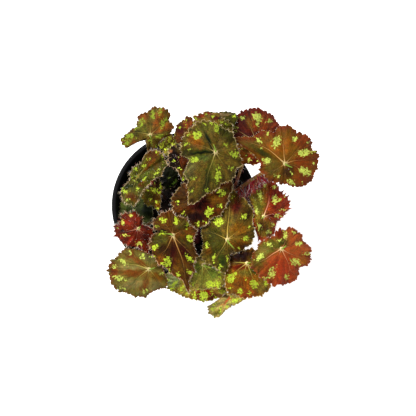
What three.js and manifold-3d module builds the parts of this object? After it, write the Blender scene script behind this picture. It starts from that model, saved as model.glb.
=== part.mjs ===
// Eyelash begonia in a round nursery pot.
// Millimetres, +Z up. The origin is the middle of the pot's underside, +X and +Y are
// the right and the far side of the plant as it is seen from overhead.

import * as THREE from 'three';
import { mergeVertices } from 'three/addons/utils/BufferGeometryUtils.js';
import Module from 'manifold-3d';

const wasm = await Module();
wasm.setup();

// Clearance between pieces that touch on the real plant
const GAP = 0.3;
const SEAT_GAP = 0.45;

// Pot, a 12 cm nursery pot
const POT_HEIGHT = 105;
const RIM_RADIUS = 60;
const RIM_DEPTH = 9;
const WALL_TOP_RADIUS = 57.9;
const BASE_RADIUS = 43;
const WALL = 1.2;
const FLOOR = 3.6;
const POT_SIDES = 40;
const DRAIN_HOLES = 8;
const DRAIN_RADIUS = 4;
const DRAIN_CIRCLE = 26;
const DRAIN_SIDES = 10;
const CENTRE_PAD_RADIUS = 14;
const FOOT_RING_INNER = 35;
const FOOT_RISE = 1.6;
const SHOULDER_DROP = 11;
const SHOULDER = 0.6;
const EDGE_ROUND = 1;
const CORNER = 3;

// Potting soil and the creeping rhizomes that lie half buried in it
const SOIL_TOP = 90;
const SOIL_MOUND = 2;
const SOIL_LUMP = 0.7;
const SOIL_BANDS = [[44, 0.4], [30, 0.8], [15, 1], [0, 1]];
const HOLE_DEPTH = 9;
const HOLE_CLEARANCE = 0.45;
const HOLE_SIDES = 8;
const CUT_HEIGHT = 30;
const TROUGH_GAP = 0.4;
const TROUGH_END_SHARE = 0.8;
const TROUGH_END_GAP = 0.8;
const RHIZOME_HEIGHT = 92;
const RHIZOME_RINGS = 10;
const RHIZOME_SIDES = 8;
const RHIZOME_END = 0.72;
const KNOB = 0.06;
const KNOB_RATE = 23;

// Leaf blades and their stalks
const BLADE = 0.9;
const NOTCH = 0.07;
const PILLOW = 0.8;
const FLUTTER = 0.45;
const INNER_RINGS = [0.42, 0.76];
const SMALL_INNER_RINGS = [0.6];
const SMALL_REACH = 13;
const STALK_SIDES = 6;
const STALK_TAPER = 0.65;
const SEAT_SIDES = 12;
const APPROACH = 7;
const UPRIGHT_START = 6;

const finish = (colour, roughness) =>
  new THREE.MeshStandardMaterial({ color: colour, roughness, metalness: 0 });

const potPlastic = finish(0x17181a, 0.5);
const pottingSoil = finish(0x35281c, 0.95);
const rhizomeSkin = finish(0x6b4a2e, 0.8);
const stalkSkin = finish(0x8a3a2a, 0.6);
const olive = finish(0x6c6226, 0.45);
const bronze = finish(0x74501a, 0.45);
const redBrown = finish(0x80381a, 0.45);
const darkMaroon = finish(0x3c1a10, 0.45);
const shadeGreen = finish(0x3c5226, 0.5);

// Each leaf: the seat is where the stalk meets the blade. lean is the rise of the blade
// per millimetre along X and Y, droop the fall at its edge, ruffle the number and height
// of the waves of its edge. A fold [bearing, slope] bends the blade beyond a line through
// the seat. A pleat [bearing, depth, width] is a valley that runs out from the seat.
// foot is where the stalk enters the soil, route the points it passes on its way up.
// tips are the tips of the edge's lobes and teeth, clockwise, measured from the seat.
const LEAVES = [
  {
    name: 'crown', skin: olive, seat: [25.4, 41.3, 175.5], lean: [0.05, 0.24], droop: -6,
    ruffle: [9, 1.8], folds: [], pleats: [[188, 3.5, 16]],
    foot: [15.5, 13], route: [[20, 27, 134]], thick: 2.1,
    tips: [
      [-27, -2], [-27, 7], [-24, 15], [-20, 18.5], [-15, 23], [-10, 25], [-5, 24],
      [0, 22.5], [4, 20.5], [9, 17.5], [13, 15], [15, 10], [17, 2], [20, -5], [20.5, -10],
      [15.5, -13], [15, -18], [12.5, -21.5], [6, -23.5], [3, -27], [-3, -31], [-9, -33.5],
      [-12.5, -37], [-17, -40], [-21, -40.5], [-21.5, -35], [-21.5, -30], [-22.5, -25.5],
      [-21, -23], [-23, -20], [-25, -16], [-22.5, -11], [-20, -5],
    ],
  },
  {
    name: 'upper_right', skin: bronze, seat: [79.8, 32.6, 166], lean: [-0.16, -0.06], droop: -6,
    ruffle: [11, 1.8], folds: [], pleats: [[250, 2, 18]],
    foot: [24, 3], route: [[30, 5, 114], [44.4, 13, 135], [63.8, 26.2, 149]], thick: 2.2,
    tips: [
      [-41, 20], [-31, 21], [-24.5, 21], [-21.5, 23.5], [-18, 25.5], [-12, 25.5], [-9, 24],
      [-3.5, 30], [2, 31], [8, 27], [13, 25], [17.5, 22.5], [22.5, 17], [21, 12.5],
      [25.5, 10.5], [27.5, 6.5], [26.5, 1.5], [26.5, -4], [23, -7], [21.5, -13.5], [16.5, -17],
      [10, -18], [6.5, -18], [0.5, -15.5], [-3, -16], [-7.5, -14], [-12, -13], [-15.5, -10],
      [-20.5, -4.5], [-19, 1], [-23.5, 7], [-30, 11.5], [-38.5, 17],
    ],
  },
  {
    name: 'back_right', skin: redBrown, seat: [59.1, 49.9, 146.5], lean: [-0.1, -0.45], droop: -4,
    ruffle: [8, 1.6], folds: [], pleats: [],
    foot: [17, 27], route: [[30, 38, 118], [47, 47, 135]], thick: 1.8,
    tips: [
      [-23.5, 14], [-20.5, 18], [-17.5, 22.5], [-13, 26.5], [-6, 28.5], [1.5, 29], [7, 26.5],
      [13.5, 22.5], [17, 16], [20, 13], [19, 4], [15, -5], [8, -10], [1, -11], [-7, -6.5],
      [-14, -2.5], [-20, 1], [-24.5, 8],
    ],
  },
  {
    name: 'back_left', skin: bronze, seat: [-26.6, 56.1, 146.5], lean: [0.15, -0.35], droop: -3,
    ruffle: [8, 1.5], folds: [[270, -0.8]], pleats: [],
    foot: [-1, 28], route: [[-2, 36, 104], [-6, 44, 112], [-14, 51, 120], [-22, 55, 130]],
    thick: 1.7,
    tips: [
      [-12, 5.5], [-10.5, 15], [-8, 17], [-5, 18.5], [-0.5, 20.5], [1, 23], [3.5, 23.5],
      [10, 22.5], [14, 20.5], [15.3, 18], [16, 15.5], [14, 12], [17, 9.7],
      [19, 6], [17, 3], [15.7, -0.3], [11, -1.5], [7.5, -4.5], [6, -7], [5.5, -9.5],
      [1, -11], [-2.5, -11.5], [-3, -8], [-4, -3.5], [-10, -5.3], [-14.5, -7.6], [-19, -10],
      [-23, -7], [-24, -3], [-20.5, 0.5], [-16.5, 3], [-14, 6],
    ],
  },
  {
    name: 'left_cupped', skin: bronze, seat: [-36.9, 23, 143], lean: [0.15, 0.1], droop: -1,
    ruffle: [9, 1.4], folds: [[123, 0.35], [303, 0.45]], pleats: [],
    foot: [-23, 4.5], route: [[-26, 9, 114]], thick: 1.7,
    tips: [
      [4, 12.5], [6, 17], [10, 20], [15, 21], [20, 18], [21.5, 15], [24, 9], [21, 6],
      [19.5, 0], [15, -0.5], [13, -2], [10, -5.5], [5, -10], [2.5, -14], [1, -18.5],
      [-2.5, -23.5], [-7.5, -21.5], [-12, -18], [-13.5, -12.5], [-12.5, -9], [-10, -6.8],
      [-5.5, -2], [-5.5, 2.5], [-3, 6.5], [2, 9.5],
    ],
  },
  {
    name: 'left_inner', skin: darkMaroon, seat: [-23.7, 17, 132.5], lean: [0, 0.3], droop: -1.5,
    ruffle: [6, 1.2], folds: [], pleats: [[262, 2, 25]],
    foot: [-16, 5.5], route: [[-18.5, 9, 109]], thick: 1.4,
    tips: [
      [-11, -6], [-9, -1], [-7, 5], [-2, 7], [3, 4.5], [5, 1.5], [6.5, -2.5], [4.5, -7],
      [5, -12], [4.5, -17.5], [2.5, -21.5], [-2.5, -16.5], [-6, -17.5], [-8, -15],
      [-11, -10.5],
    ],
  },
  {
    name: 'back_small', skin: olive, seat: [-12.4, 47.4, 132.5], lean: [-0.05, -0.1], droop: -2,
    ruffle: [5, 1.1], folds: [], pleats: [],
    foot: [1, 21], route: [[-2, 30, 107], [-9, 40, 121]], thick: 1.3,
    tips: [
      [-8, 2], [-4, 5.5], [2, 10], [6.5, 8.5], [7, 4], [6, -1], [4, -6], [0, -7], [-3, -6],
      [-6, -2],
    ],
  },
  {
    name: 'hanging', skin: darkMaroon, seat: [-3.3, 37.3, 158.5], lean: [0.3, 0.3], droop: -2,
    ruffle: [5, 1.2], folds: [], pleats: [],
    foot: [0, 14], route: [[-0.5, 20, 114], [-2, 30, 138]], thick: 1.5,
    tips: [
      [-8.5, 6], [-5, 9], [0, 10], [6, 8], [8, 2], [8.5, -3], [6, -9], [8, -14], [6.5, -21],
      [2, -17], [0, -12], [-1.5, -9], [-4, -6.5], [-7.5, -5.5], [-8.5, -1],
    ],
  },
  {
    name: 'back_red', skin: redBrown, seat: [5.4, 56.3, 148], lean: [0.1, -0.3], droop: -3,
    ruffle: [6, 1.2], folds: [], pleats: [],
    foot: [5, 38.5], route: [[5, 45, 116]], thick: 1.5,
    tips: [
      [-13, -2], [-11.5, 4.5], [-11, 8], [-6.5, 11.5], [-3, 15], [1, 14], [4, 10], [8, 4],
      [7, -4], [2, -9], [-5, -9], [-11, -6.5],
    ],
  },
  {
    name: 'back_centre', skin: redBrown, seat: [23.5, 60.7, 157.5], lean: [0, -0.25], droop: -3,
    ruffle: [7, 1.2], folds: [], pleats: [],
    foot: [16.5, 20], route: [[19, 38, 120], [22, 52, 142]], thick: 1.6,
    tips: [
      [-15, 5.5], [-15.5, 10.5], [-10.5, 12], [-6.5, 13.5], [-2.5, 13], [4.5, 12], [8, 8],
      [12, 6.5], [15, 3], [15, -3], [10, -8], [3, -10], [-4, -10], [-11, -7], [-15, 0],
    ],
  },
  {
    name: 'back_low', skin: shadeGreen, seat: [27.6, 69.4, 142], lean: [0, -0.5], droop: -1.5,
    ruffle: [5, 0.8], folds: [], pleats: [],
    foot: [13, 35], route: [[18, 50, 113]], thick: 1.4,
    tips: [
      [-11, 5.5], [-8, 6], [-2.5, 5], [7, 6], [13, 5], [16, 1], [13, -6], [0, -7],
      [-8, -4], [-11, 1],
    ],
  },
  {
    name: 'gap_small', skin: redBrown, seat: [50.3, 39.6, 154], lean: [0, 0.15], droop: -1.5,
    ruffle: [7, 1.2], folds: [], pleats: [],
    foot: [22, 10], route: [[30, 12, 113], [40.3, 15, 128], [45.8, 28.8, 142]], thick: 1.5,
    tips: [
      [-13, 6], [-9.5, 9], [-5, 9], [0, 7], [5, 5.5], [9, 2.5], [10.5, -1.5],
      [12, -5.5], [7.5, -7], [5, -8], [1.5, -6.5], [-2.5, -6.5], [-6, -7], [-11, -4],
    ],
  },
  {
    name: 'centre_dark', skin: darkMaroon, seat: [13.1, 4.4, 152], lean: [-0.05, 0.1], droop: -5,
    ruffle: [9, 1.6], folds: [], pleats: [],
    foot: [15, 5.8], route: [[15, 6, 116]], thick: 1.8,
    tips: [
      [-14, 12.5], [-10, 14], [-5, 14], [3, 14], [10, 13], [15.5, 12], [20, 14], [24.5, 15],
      [26, 12.5], [25.5, 7.5], [22.5, 3], [23, -0.5], [20, -6.5], [16.5, -12.5], [9.5, -14],
      [6.5, -18.5], [1.5, -21], [-3, -23], [-8.5, -19.5], [-9.5, -14.5], [-16.5, -13.5],
      [-20.5, -12], [-22, -8], [-22.5, -3], [-22.5, 1.5], [-20.5, 4], [-17, 9],
    ],
  },
  {
    name: 'left_long', skin: bronze, seat: [-8, -23.5, 160], lean: [0, 0.3], droop: -6,
    ruffle: [11, 1.7], folds: [], pleats: [[168, 2.5, 14]],
    foot: [-4.5, -13], route: [[-6, -17, 120]], thick: 2,
    tips: [
      [-15, 12], [-12, 14.5], [-8.5, 17.5], [-3, 19.5], [-0.5, 19], [1, 15.5], [5, 14.5],
      [11, 13.5], [12.5, 8], [19, 4], [16.5, -0.5], [15.5, -6.5], [17.5, -14], [20, -17],
      [16.5, -20.5], [15.5, -24], [17.5, -29], [14.5, -32], [12, -36.5], [13, -43.5],
      [12, -47], [10, -43.5], [7.5, -36.5], [3.5, -34], [0.5, -32.5], [-3.5, -30],
      [-7.5, -25.5], [-12, -23], [-16, -16], [-17.5, -11], [-19.5, -7.5], [-17.5, -3.5],
      [-16, 0], [-10.5, 2.8], [-15.5, 4.8], [-15.5, 9],
    ],
  },
  {
    name: 'right_centre', skin: bronze, seat: [34.9, -27.4, 144.5], lean: [-0.08, -0.02], droop: -6,
    ruffle: [10, 1.7], folds: [], pleats: [[272, 2, 16]],
    foot: [20, -12], route: [[25, -17, 114]], thick: 1.9,
    tips: [
      [1.5, 37.5], [3, 44.5], [4.8, 42], [8.5, 37], [13.5, 33.5], [18.5, 26.5], [21, 23.5],
      [21, 19.5], [20, 12.5], [21.7, 8.5], [22, 2], [19.5, -3.5], [13, -7.8], [8, -10], [3, -10.5],
      [2, -14.5], [2, -19], [0.5, -23.5], [-1.5, -27], [-8, -23.5], [-11.5, -21.5],
      [-17, -19], [-19.5, -16], [-21.5, -12.5], [-19.5, -5.5], [-20.5, 5.5], [-19.5, 10],
      [-15.5, 13], [-12, 17], [-5, 27], [0.3, 34],
    ],
  },
  {
    name: 'front_left', skin: olive, seat: [-27.5, -51, 144.5], lean: [0.22, 0.3], droop: -5,
    ruffle: [10, 1.4], folds: [], pleats: [],
    foot: [-13, -11.5], route: [[-16, -24, 111], [-22, -40, 128]], thick: 1.9,
    tips: [
      [-19, 16.5], [-12, 16], [-6, 14.5], [0, 12], [6, 10], [10, 4], [12, -3.5],
      [14.5, -9.5], [13.5, -15.5], [8, -16.5], [1, -19], [-3, -23.7], [-11.5, -23.5],
      [-17.5, -20.5], [-25, -19.5], [-28.5, -16], [-31.5, -12], [-32.5, -7.5], [-35, -2],
      [-33, 2.5], [-31, 7.5], [-26.5, 9], [-25, 12.5],
    ],
  },
  {
    name: 'left_red', skin: redBrown, seat: [-36.4, -18.7, 137], lean: [0.35, 0.15], droop: -3,
    ruffle: [9, 1.5], folds: [], pleats: [],
    foot: [-22, -12], route: [[-24, -13, 109]], thick: 1.6,
    tips: [
      [-4.5, 14], [-2.5, 14], [-1.5, 11], [2.5, 8.5], [3, 5.5], [2.5, 3], [7.5, 1.5],
      [11.5, -1], [12, -5], [11, -8], [8, -12.5], [9.5, -16], [8, -21], [5, -18.5],
      [0, -15.5], [-6, -14.5], [-13, -12.5], [-16.5, -7.5], [-21, -6.5], [-20.5, -2.5],
      [-21.5, 2], [-16, 4.5], [-14.5, 8.5], [-14.5, 11], [-10.5, 13], [-7, 12.5],
    ],
  },
  {
    name: 'right_red', skin: redBrown, seat: [64.4, -8.9, 134], lean: [-0.42, 0.05], droop: -3,
    ruffle: [9, 1.4], folds: [], pleats: [[85, 2, 22]],
    foot: [33, -3], route: [[42, 3, 109], [54, 0, 124]], thick: 1.7,
    tips: [
      [3, 31], [10.5, 29.5], [12.5, 24], [16.5, 21], [20.5, 17], [22.5, 12.5],
      [22.5, 6.5], [20, 4.5], [18.7, 2], [15.5, -0.7], [13.5, -3.5], [11, -4.5], [10, -7],
      [9.5, -11.5], [8, -16.5], [4, -20], [-1, -22], [-4.3, -19.5], [-5, -15], [-7, -10],
      [-9, -6], [-8, -0.5], [-7.5, 4.5], [-10.5, 11], [-12, 16], [-10, 21.5], [-4.5, 28],
    ],
  },
  {
    name: 'front_right', skin: redBrown, seat: [77.7, -34.3, 154], lean: [-0.32, 0.16], droop: -5,
    ruffle: [12, 1.7], folds: [], pleats: [[212, 2, 22]],
    foot: [32, -10.5], route: [[38, -20, 108], [47, -36, 118], [59, -40, 126], [66, -38, 133]],
    thick: 2,
    tips: [
      [-4.5, 13.5], [-1, 16.5], [2, 14], [6, 17], [9, 16.5], [11.5, 14.5], [15, 12.5], [17, 10.5],
      [17, 6.5], [19.5, 4.5], [24, 0.5], [24.5, -2], [23.5, -6], [25, -9], [23, -11.5],
      [21.5, -14], [17.5, -14.5], [14.5, -15.5], [15, -20.5], [13, -22.5], [13, -25],
      [10.5, -26], [4.5, -28.5], [1.5, -29.5], [-1, -28.5], [-5.5, -30.5], [-9.5, -27.5],
      [-13.5, -24], [-17, -22.5], [-24.5, -15], [-23, -7], [-23, -3.5], [-18.5, 0.5],
      [-19, 3], [-16.5, 5], [-11, 8.5], [-7, 9.5],
    ],
  },
  {
    name: 'front_right_low', skin: bronze, seat: [50.9, -46.4, 136.5], lean: [-0.08, 0.36], droop: -4,
    ruffle: [8, 1.5], folds: [], pleats: [],
    foot: [17, -19], route: [[29, -30, 109], [42, -41, 124]], thick: 1.8,
    tips: [
      [-15.5, 0.5], [-13.5, 5], [-9.5, 7], [-3, 10], [4, 12], [12, 4], [18.5, -4],
      [21.5, -12], [19.5, -19.5], [17, -24], [13, -28], [9, -27.5], [7, -28], [-1, -30],
      [-8, -27], [-14.5, -25.5], [-17.5, -19], [-18, -13.5], [-17, -7],
    ],
  },
  {
    name: 'front_green', skin: olive, seat: [15.5, -47.8, 131.5], lean: [-0.1, 0.3], droop: -4,
    ruffle: [7, 1.3], folds: [], pleats: [],
    foot: [1.5, -26], route: [[4, -33, 107], [11, -42, 120]], thick: 1.6,
    tips: [
      [-9, 0], [-4, 6], [4, 6], [10, 2], [11.5, -3], [16.5, -5], [19.5, -10.5], [18.5, -15.5],
      [13.5, -19.5], [9.5, -19.5], [-0.5, -21], [-9.5, -21], [-9.5, -10], [-7, -7],
    ],
  },
  {
    name: 'front_low', skin: bronze, seat: [9.8, -60.8, 119], lean: [0, 0.4], droop: -4,
    ruffle: [8, 1.3], folds: [], pleats: [],
    foot: [2.5, -33], route: [[4, -41, 101], [8, -53, 111]], thick: 1.6,
    tips: [
      [-27, -1], [-26.5, 4], [-18, 7], [-10, 10], [-1, 12], [9, 11], [18, 6], [23, -2],
      [25, -10], [24, -13], [20, -15.5], [13, -17.5], [6, -19.3], [0, -17.5], [-4.5, -16],
      [-11.5, -14.5], [-16.5, -11], [-23.5, -8],
    ],
  },
  {
    name: 'front_folded', skin: olive, seat: [37.5, -75.6, 117], lean: [0.1, 0.35], droop: -1,
    ruffle: [6, 1], folds: [[130, 0.6], [310, 0.3]], pleats: [],
    foot: [17, -27], route: [[24, -38, 104], [36, -55, 111], [40, -68, 114]], thick: 1.3,
    tips: [
      [-18.5, -7], [-14, -4.5], [-8.5, -1], [-5, 1.5], [-3, 4], [3, 5], [8, 3], [12.5, -1],
      [6.5, -4.5], [0, -7.5], [-4.5, -11.5], [-8.5, -16], [-13, -17], [-17.5, -13.5], [-18, -10],
    ],
  },
  {
    name: 'low_left', skin: shadeGreen, seat: [-42.3, -3.9, 100], lean: [0.08, 0], droop: -2,
    ruffle: [7, 1], folds: [], pleats: [],
    foot: [-38, -4.5], route: [], thick: 1.3,
    tips: [
      [-12, 2.5], [-10, 8], [-7.5, 13], [-1, 15], [6.5, 12.5], [13.5, 8.5], [15.5, 1.5],
      [15, -6.5], [11, -13.5], [4, -16], [-3.5, -13.5], [-9.5, -7.5], [-12, -1.5],
    ],
  },
  {
    name: 'low_inner', skin: shadeGreen, seat: [-13.3, 22.5, 111], lean: [0.15, 0.1], droop: -2,
    ruffle: [6, 1], folds: [], pleats: [],
    foot: [-9, 7], route: [[-10, 12, 99]], thick: 1.3,
    tips: [
      [-6, 5], [-2.5, 10], [2.5, 12.5], [7.5, 10], [9.5, 5], [8, -1], [5, -6], [-1, -9],
      [-6, -6.5], [-7.5, -1],
    ],
  },
];

// Rhizomes: the line that each creeps along, seen from above, and its radius
const RHIZOMES = [
  { name: 'rhizome_main', radius: 5, line: [[-27, -5], [-9, -1], [9, -1.5], [26, -5]] },
  { name: 'rhizome_back', radius: 4.4, line: [[6.5, 11], [9, 20], [7.5, 30]] },
  { name: 'rhizome_front', radius: 4.4, line: [[4, -12.5], [9, -21], [10, -32]] },
];

// A closed three.js geometry as a solid that can be cut, and back again
function toSolid(geometry) {
  const bare = geometry.index ? geometry.toNonIndexed() : geometry.clone();
  bare.deleteAttribute('normal');
  bare.deleteAttribute('uv');
  const merged = mergeVertices(bare, 1e-4);
  return new wasm.Manifold(new wasm.Mesh({
    numProp: 3,
    vertProperties: new Float32Array(merged.attributes.position.array),
    triVerts: new Uint32Array(merged.index.array),
  }));
}

function toGeometry(solid) {
  const mesh = solid.getMesh();
  const geometry = new THREE.BufferGeometry();
  geometry.setAttribute('position', new THREE.BufferAttribute(mesh.vertProperties, 3));
  geometry.setIndex(new THREE.BufferAttribute(mesh.triVerts, 1));
  geometry.computeVertexNormals();
  return geometry;
}

function facets(vertices, triangles) {
  const geometry = new THREE.BufferGeometry();
  geometry.setAttribute('position', new THREE.Float32BufferAttribute(vertices.flat(), 3));
  geometry.setIndex(triangles.flat());
  geometry.computeVertexNormals();
  return geometry;
}

// A lathe turned about Z from (radius, height) pairs that start and end on the axis
function turned(profile, sides) {
  const points = profile.map(([radius, height]) => new THREE.Vector2(radius, height));
  return new THREE.LatheGeometry(points, sides).rotateX(Math.PI / 2);
}

function upright(radius, height, x, y, bottom, sides) {
  const rod = new THREE.CylinderGeometry(radius, radius, height, sides);
  return rod.rotateX(Math.PI / 2).translate(x, y, bottom + height / 2);
}

// Radius of the pot's outer wall at a height, below the rim band
function wallRadius(z) {
  return BASE_RADIUS + (WALL_TOP_RADIUS - BASE_RADIUS) * (z / POT_HEIGHT);
}

function pot() {
  const underRim = POT_HEIGHT - RIM_DEPTH;
  const shoulder = underRim - SHOULDER_DROP;
  const inside = (z) => wallRadius(z) - WALL;
  const body = toSolid(turned([
    [0, 0],
    [CENTRE_PAD_RADIUS, 0],
    [CENTRE_PAD_RADIUS + 1, FOOT_RISE],
    [FOOT_RING_INNER - 1, FOOT_RISE],
    [FOOT_RING_INNER, 0],
    [BASE_RADIUS - EDGE_ROUND, 0],
    [BASE_RADIUS, EDGE_ROUND],
    [wallRadius(shoulder - EDGE_ROUND), shoulder - EDGE_ROUND],
    [wallRadius(shoulder) + SHOULDER, shoulder],
    [wallRadius(underRim) + SHOULDER, underRim],
    [RIM_RADIUS - EDGE_ROUND, underRim],
    [RIM_RADIUS, underRim + EDGE_ROUND],
    [RIM_RADIUS, POT_HEIGHT - EDGE_ROUND],
    [RIM_RADIUS - EDGE_ROUND, POT_HEIGHT],
    [inside(POT_HEIGHT) + EDGE_ROUND, POT_HEIGHT],
    [inside(POT_HEIGHT), POT_HEIGHT - EDGE_ROUND],
    [inside(FLOOR + CORNER), FLOOR + CORNER],
    [inside(FLOOR) - CORNER, FLOOR],
    [0, FLOOR],
  ], POT_SIDES));
  let solid = body;
  for (let i = 0; i < DRAIN_HOLES; i += 1) {
    const turn = ((i + 0.5) * 2 * Math.PI) / DRAIN_HOLES;
    const x = DRAIN_CIRCLE * Math.cos(turn);
    const y = DRAIN_CIRCLE * Math.sin(turn);
    const hole = upright(DRAIN_RADIUS, 3 * FLOOR, x, y, -FLOOR, DRAIN_SIDES);
    solid = solid.subtract(toSolid(hole));
  }
  return toGeometry(solid);
}

// A closed tube along a curve, with a ring at each of the given shares of the curve.
// aside is a direction that the curve never runs in; it keeps the rings from twisting.
function tube(curve, shares, sides, radiusAt, aside) {
  const vertices = [];
  for (const share of shares) {
    const centre = curve.getPoint(share);
    const along = curve.getTangent(share);
    const across = new THREE.Vector3().crossVectors(along, aside).normalize();
    const other = new THREE.Vector3().crossVectors(along, across);
    for (let j = 0; j < sides; j += 1) {
      const turn = (j * 2 * Math.PI) / sides;
      const corner = centre.clone()
        .addScaledVector(across, radiusAt(share) * Math.cos(turn))
        .addScaledVector(other, radiusAt(share) * Math.sin(turn));
      vertices.push(corner.toArray());
    }
  }
  const triangles = [];
  const last = (shares.length - 1) * sides;
  for (let i = 0; i < last; i += sides) {
    for (let j = 0; j < sides; j += 1) {
      const here = i + j;
      const beside = i + ((j + 1) % sides);
      triangles.push([here, beside, beside + sides], [here, beside + sides, here + sides]);
    }
  }
  for (let j = 1; j < sides - 1; j += 1) {
    triangles.push([0, j + 1, j], [last, last + j, last + j + 1]);
  }
  return facets(vertices, triangles);
}

function rhizome({ radius, line }, extra = 0) {
  const middle = (line.length - 1) / 2;
  const points = line.map(
    ([x, y], i) => new THREE.Vector3(x, y, RHIZOME_HEIGHT - Math.abs(i - middle)),
  );
  const curve = new THREE.CatmullRomCurve3(points, false, 'centripetal');
  const shares = Array.from({ length: RHIZOME_RINGS }, (_, i) => i / (RHIZOME_RINGS - 1));
  const knobbly = (t) => {
    const swell = RHIZOME_END + (1 - RHIZOME_END) * Math.sqrt(Math.sin(Math.PI * t));
    return radius * (swell + KNOB * Math.sin(KNOB_RATE * t)) + extra;
  };
  return tube(curve, shares, RHIZOME_SIDES, knobbly, new THREE.Vector3(0, 0, 1));
}

// Height of a blade at x, y from its seat; share runs from 0 at the seat to 1 at the edge
function bladeHeight(leaf, x, y, share) {
  const bearing = Math.atan2(y, x);
  const [waves, wave] = leaf.ruffle;
  let z = leaf.seat[2] + leaf.lean[0] * x + leaf.lean[1] * y + leaf.droop * share ** 2;
  z += PILLOW * Math.sin(Math.PI * share) ** 2;
  z += wave * share ** 3 * Math.sin(waves * bearing + leaf.seat[0]);
  z += FLUTTER * wave * share ** 4 * Math.sin((waves + 5) * bearing + leaf.seat[1]);
  for (const [toward, slope] of leaf.folds) {
    const turn = THREE.MathUtils.degToRad(toward);
    z += slope * Math.max(0, x * Math.cos(turn) + y * Math.sin(turn));
  }
  for (const [toward, depth, width] of leaf.pleats) {
    let off = THREE.MathUtils.radToDeg(bearing) - toward;
    off -= 360 * Math.round(off / 360);
    z -= depth * share * Math.exp(-((off / width) ** 2));
  }
  return z;
}

// The edge of a blade: a point at each tip and a notch between each two
function bladeEdge(leaf) {
  return leaf.tips.flatMap((tip, i) => {
    const next = leaf.tips[(i + 1) % leaf.tips.length];
    const notch = [0, 1].map((k) => ((tip[k] + next[k]) / 2) * (1 - NOTCH));
    return [tip, notch];
  });
}

function bladeThickness(leaf) {
  return BLADE * Math.hypot(1, ...leaf.lean);
}

// A blade: the same fan and rings of triangles on both faces, joined round the edge
function blade(leaf) {
  const count = leaf.tips.length;
  const reach = Math.max(...leaf.tips.map(([x, y]) => Math.hypot(x, y)));
  const rings = reach < SMALL_REACH ? SMALL_INNER_RINGS : INNER_RINGS;
  const plan = [[0, 0, 0]];
  for (const share of rings) {
    plan.push(...leaf.tips.map(([x, y]) => [x * share, y * share, share]));
  }
  plan.push(...bladeEdge(leaf).map(([x, y]) => [x, y, 1]));
  const vertices = [0, bladeThickness(leaf)].flatMap((below) => plan.map(([x, y, share]) => [
    leaf.seat[0] + x, leaf.seat[1] + y, bladeHeight(leaf, x, y, share) - below,
  ]));
  const top = [];
  for (let i = 0; i < count; i += 1) {
    const next = (i + 1) % count;
    top.push([0, 1 + next, 1 + i]);
    for (let ring = 1; ring < rings.length; ring += 1) {
      const inner = 1 + (ring - 1) * count;
      const outer = inner + count;
      top.push([inner + i, inner + next, outer + i], [inner + next, outer + next, outer + i]);
    }
    const inner = 1 + (rings.length - 1) * count;
    const edge = inner + count;
    top.push([inner + i, edge + 2 * i + 1, edge + 2 * i]);
    top.push([inner + i, inner + next, edge + 2 * i + 1]);
    top.push([inner + next, edge + 2 * next, edge + 2 * i + 1]);
  }
  const layer = plan.length;
  const triangles = [...top, ...top.map(([a, b, c]) => [a + layer, c + layer, b + layer])];
  const edge = layer - 2 * count;
  for (let i = 0; i < 2 * count; i += 1) {
    const here = edge + i;
    const next = edge + ((i + 1) % (2 * count));
    triangles.push([here, next, next + layer], [here, next + layer, here + layer]);
  }
  return facets(vertices, triangles);
}

// Where a stalk ends: just under the lowest point of the blade that its end lies below
function stalkTop(leaf) {
  const radius = leaf.thick * STALK_TAPER;
  const reach = Math.min(...leaf.tips.map(([x, y]) => Math.hypot(x, y)));
  let lowest = leaf.seat[2];
  for (let i = 0; i < SEAT_SIDES; i += 1) {
    const turn = (i * 2 * Math.PI) / SEAT_SIDES;
    const x = radius * Math.cos(turn);
    const y = radius * Math.sin(turn);
    lowest = Math.min(lowest, bladeHeight(leaf, x, y, radius / reach));
  }
  return lowest - bladeThickness(leaf) - SEAT_GAP;
}

function stalk(leaf) {
  const [x, y] = leaf.foot;
  const [seatX, seatY] = leaf.seat;
  const top = stalkTop(leaf);
  const bend = (top - SOIL_TOP) / 4;
  const points = [
    [x, y, SOIL_TOP - HOLE_DEPTH + GAP],
    [x, y, SOIL_TOP],
    [x, y, SOIL_TOP + Math.min(UPRIGHT_START, bend)],
    ...leaf.route,
    [seatX, seatY, top - Math.min(APPROACH, bend)],
    [seatX, seatY, top],
  ];
  const curve = new THREE.CatmullRomCurve3(
    points.map((point) => new THREE.Vector3(...point)), false, 'centripetal',
  );
  const spans = points.length - 1;
  const shares = [0];
  for (let span = 2; span <= spans - 1; span += 0.5) {
    shares.push(span / spans);
  }
  shares.push(1);
  const radius = (t) => leaf.thick * (1 - (1 - STALK_TAPER) * t);
  const aside = new THREE.Vector3(y - seatY, seatX - x, 0).normalize();
  return tube(curve, shares, STALK_SIDES, radius, aside);
}

// Unevenness of the soil, from -2 to 2
function lump(x, y) {
  return Math.sin(0.37 * x + 1) * Math.cos(0.31 * y) + Math.sin(0.23 * (x + 2 * y));
}

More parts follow.
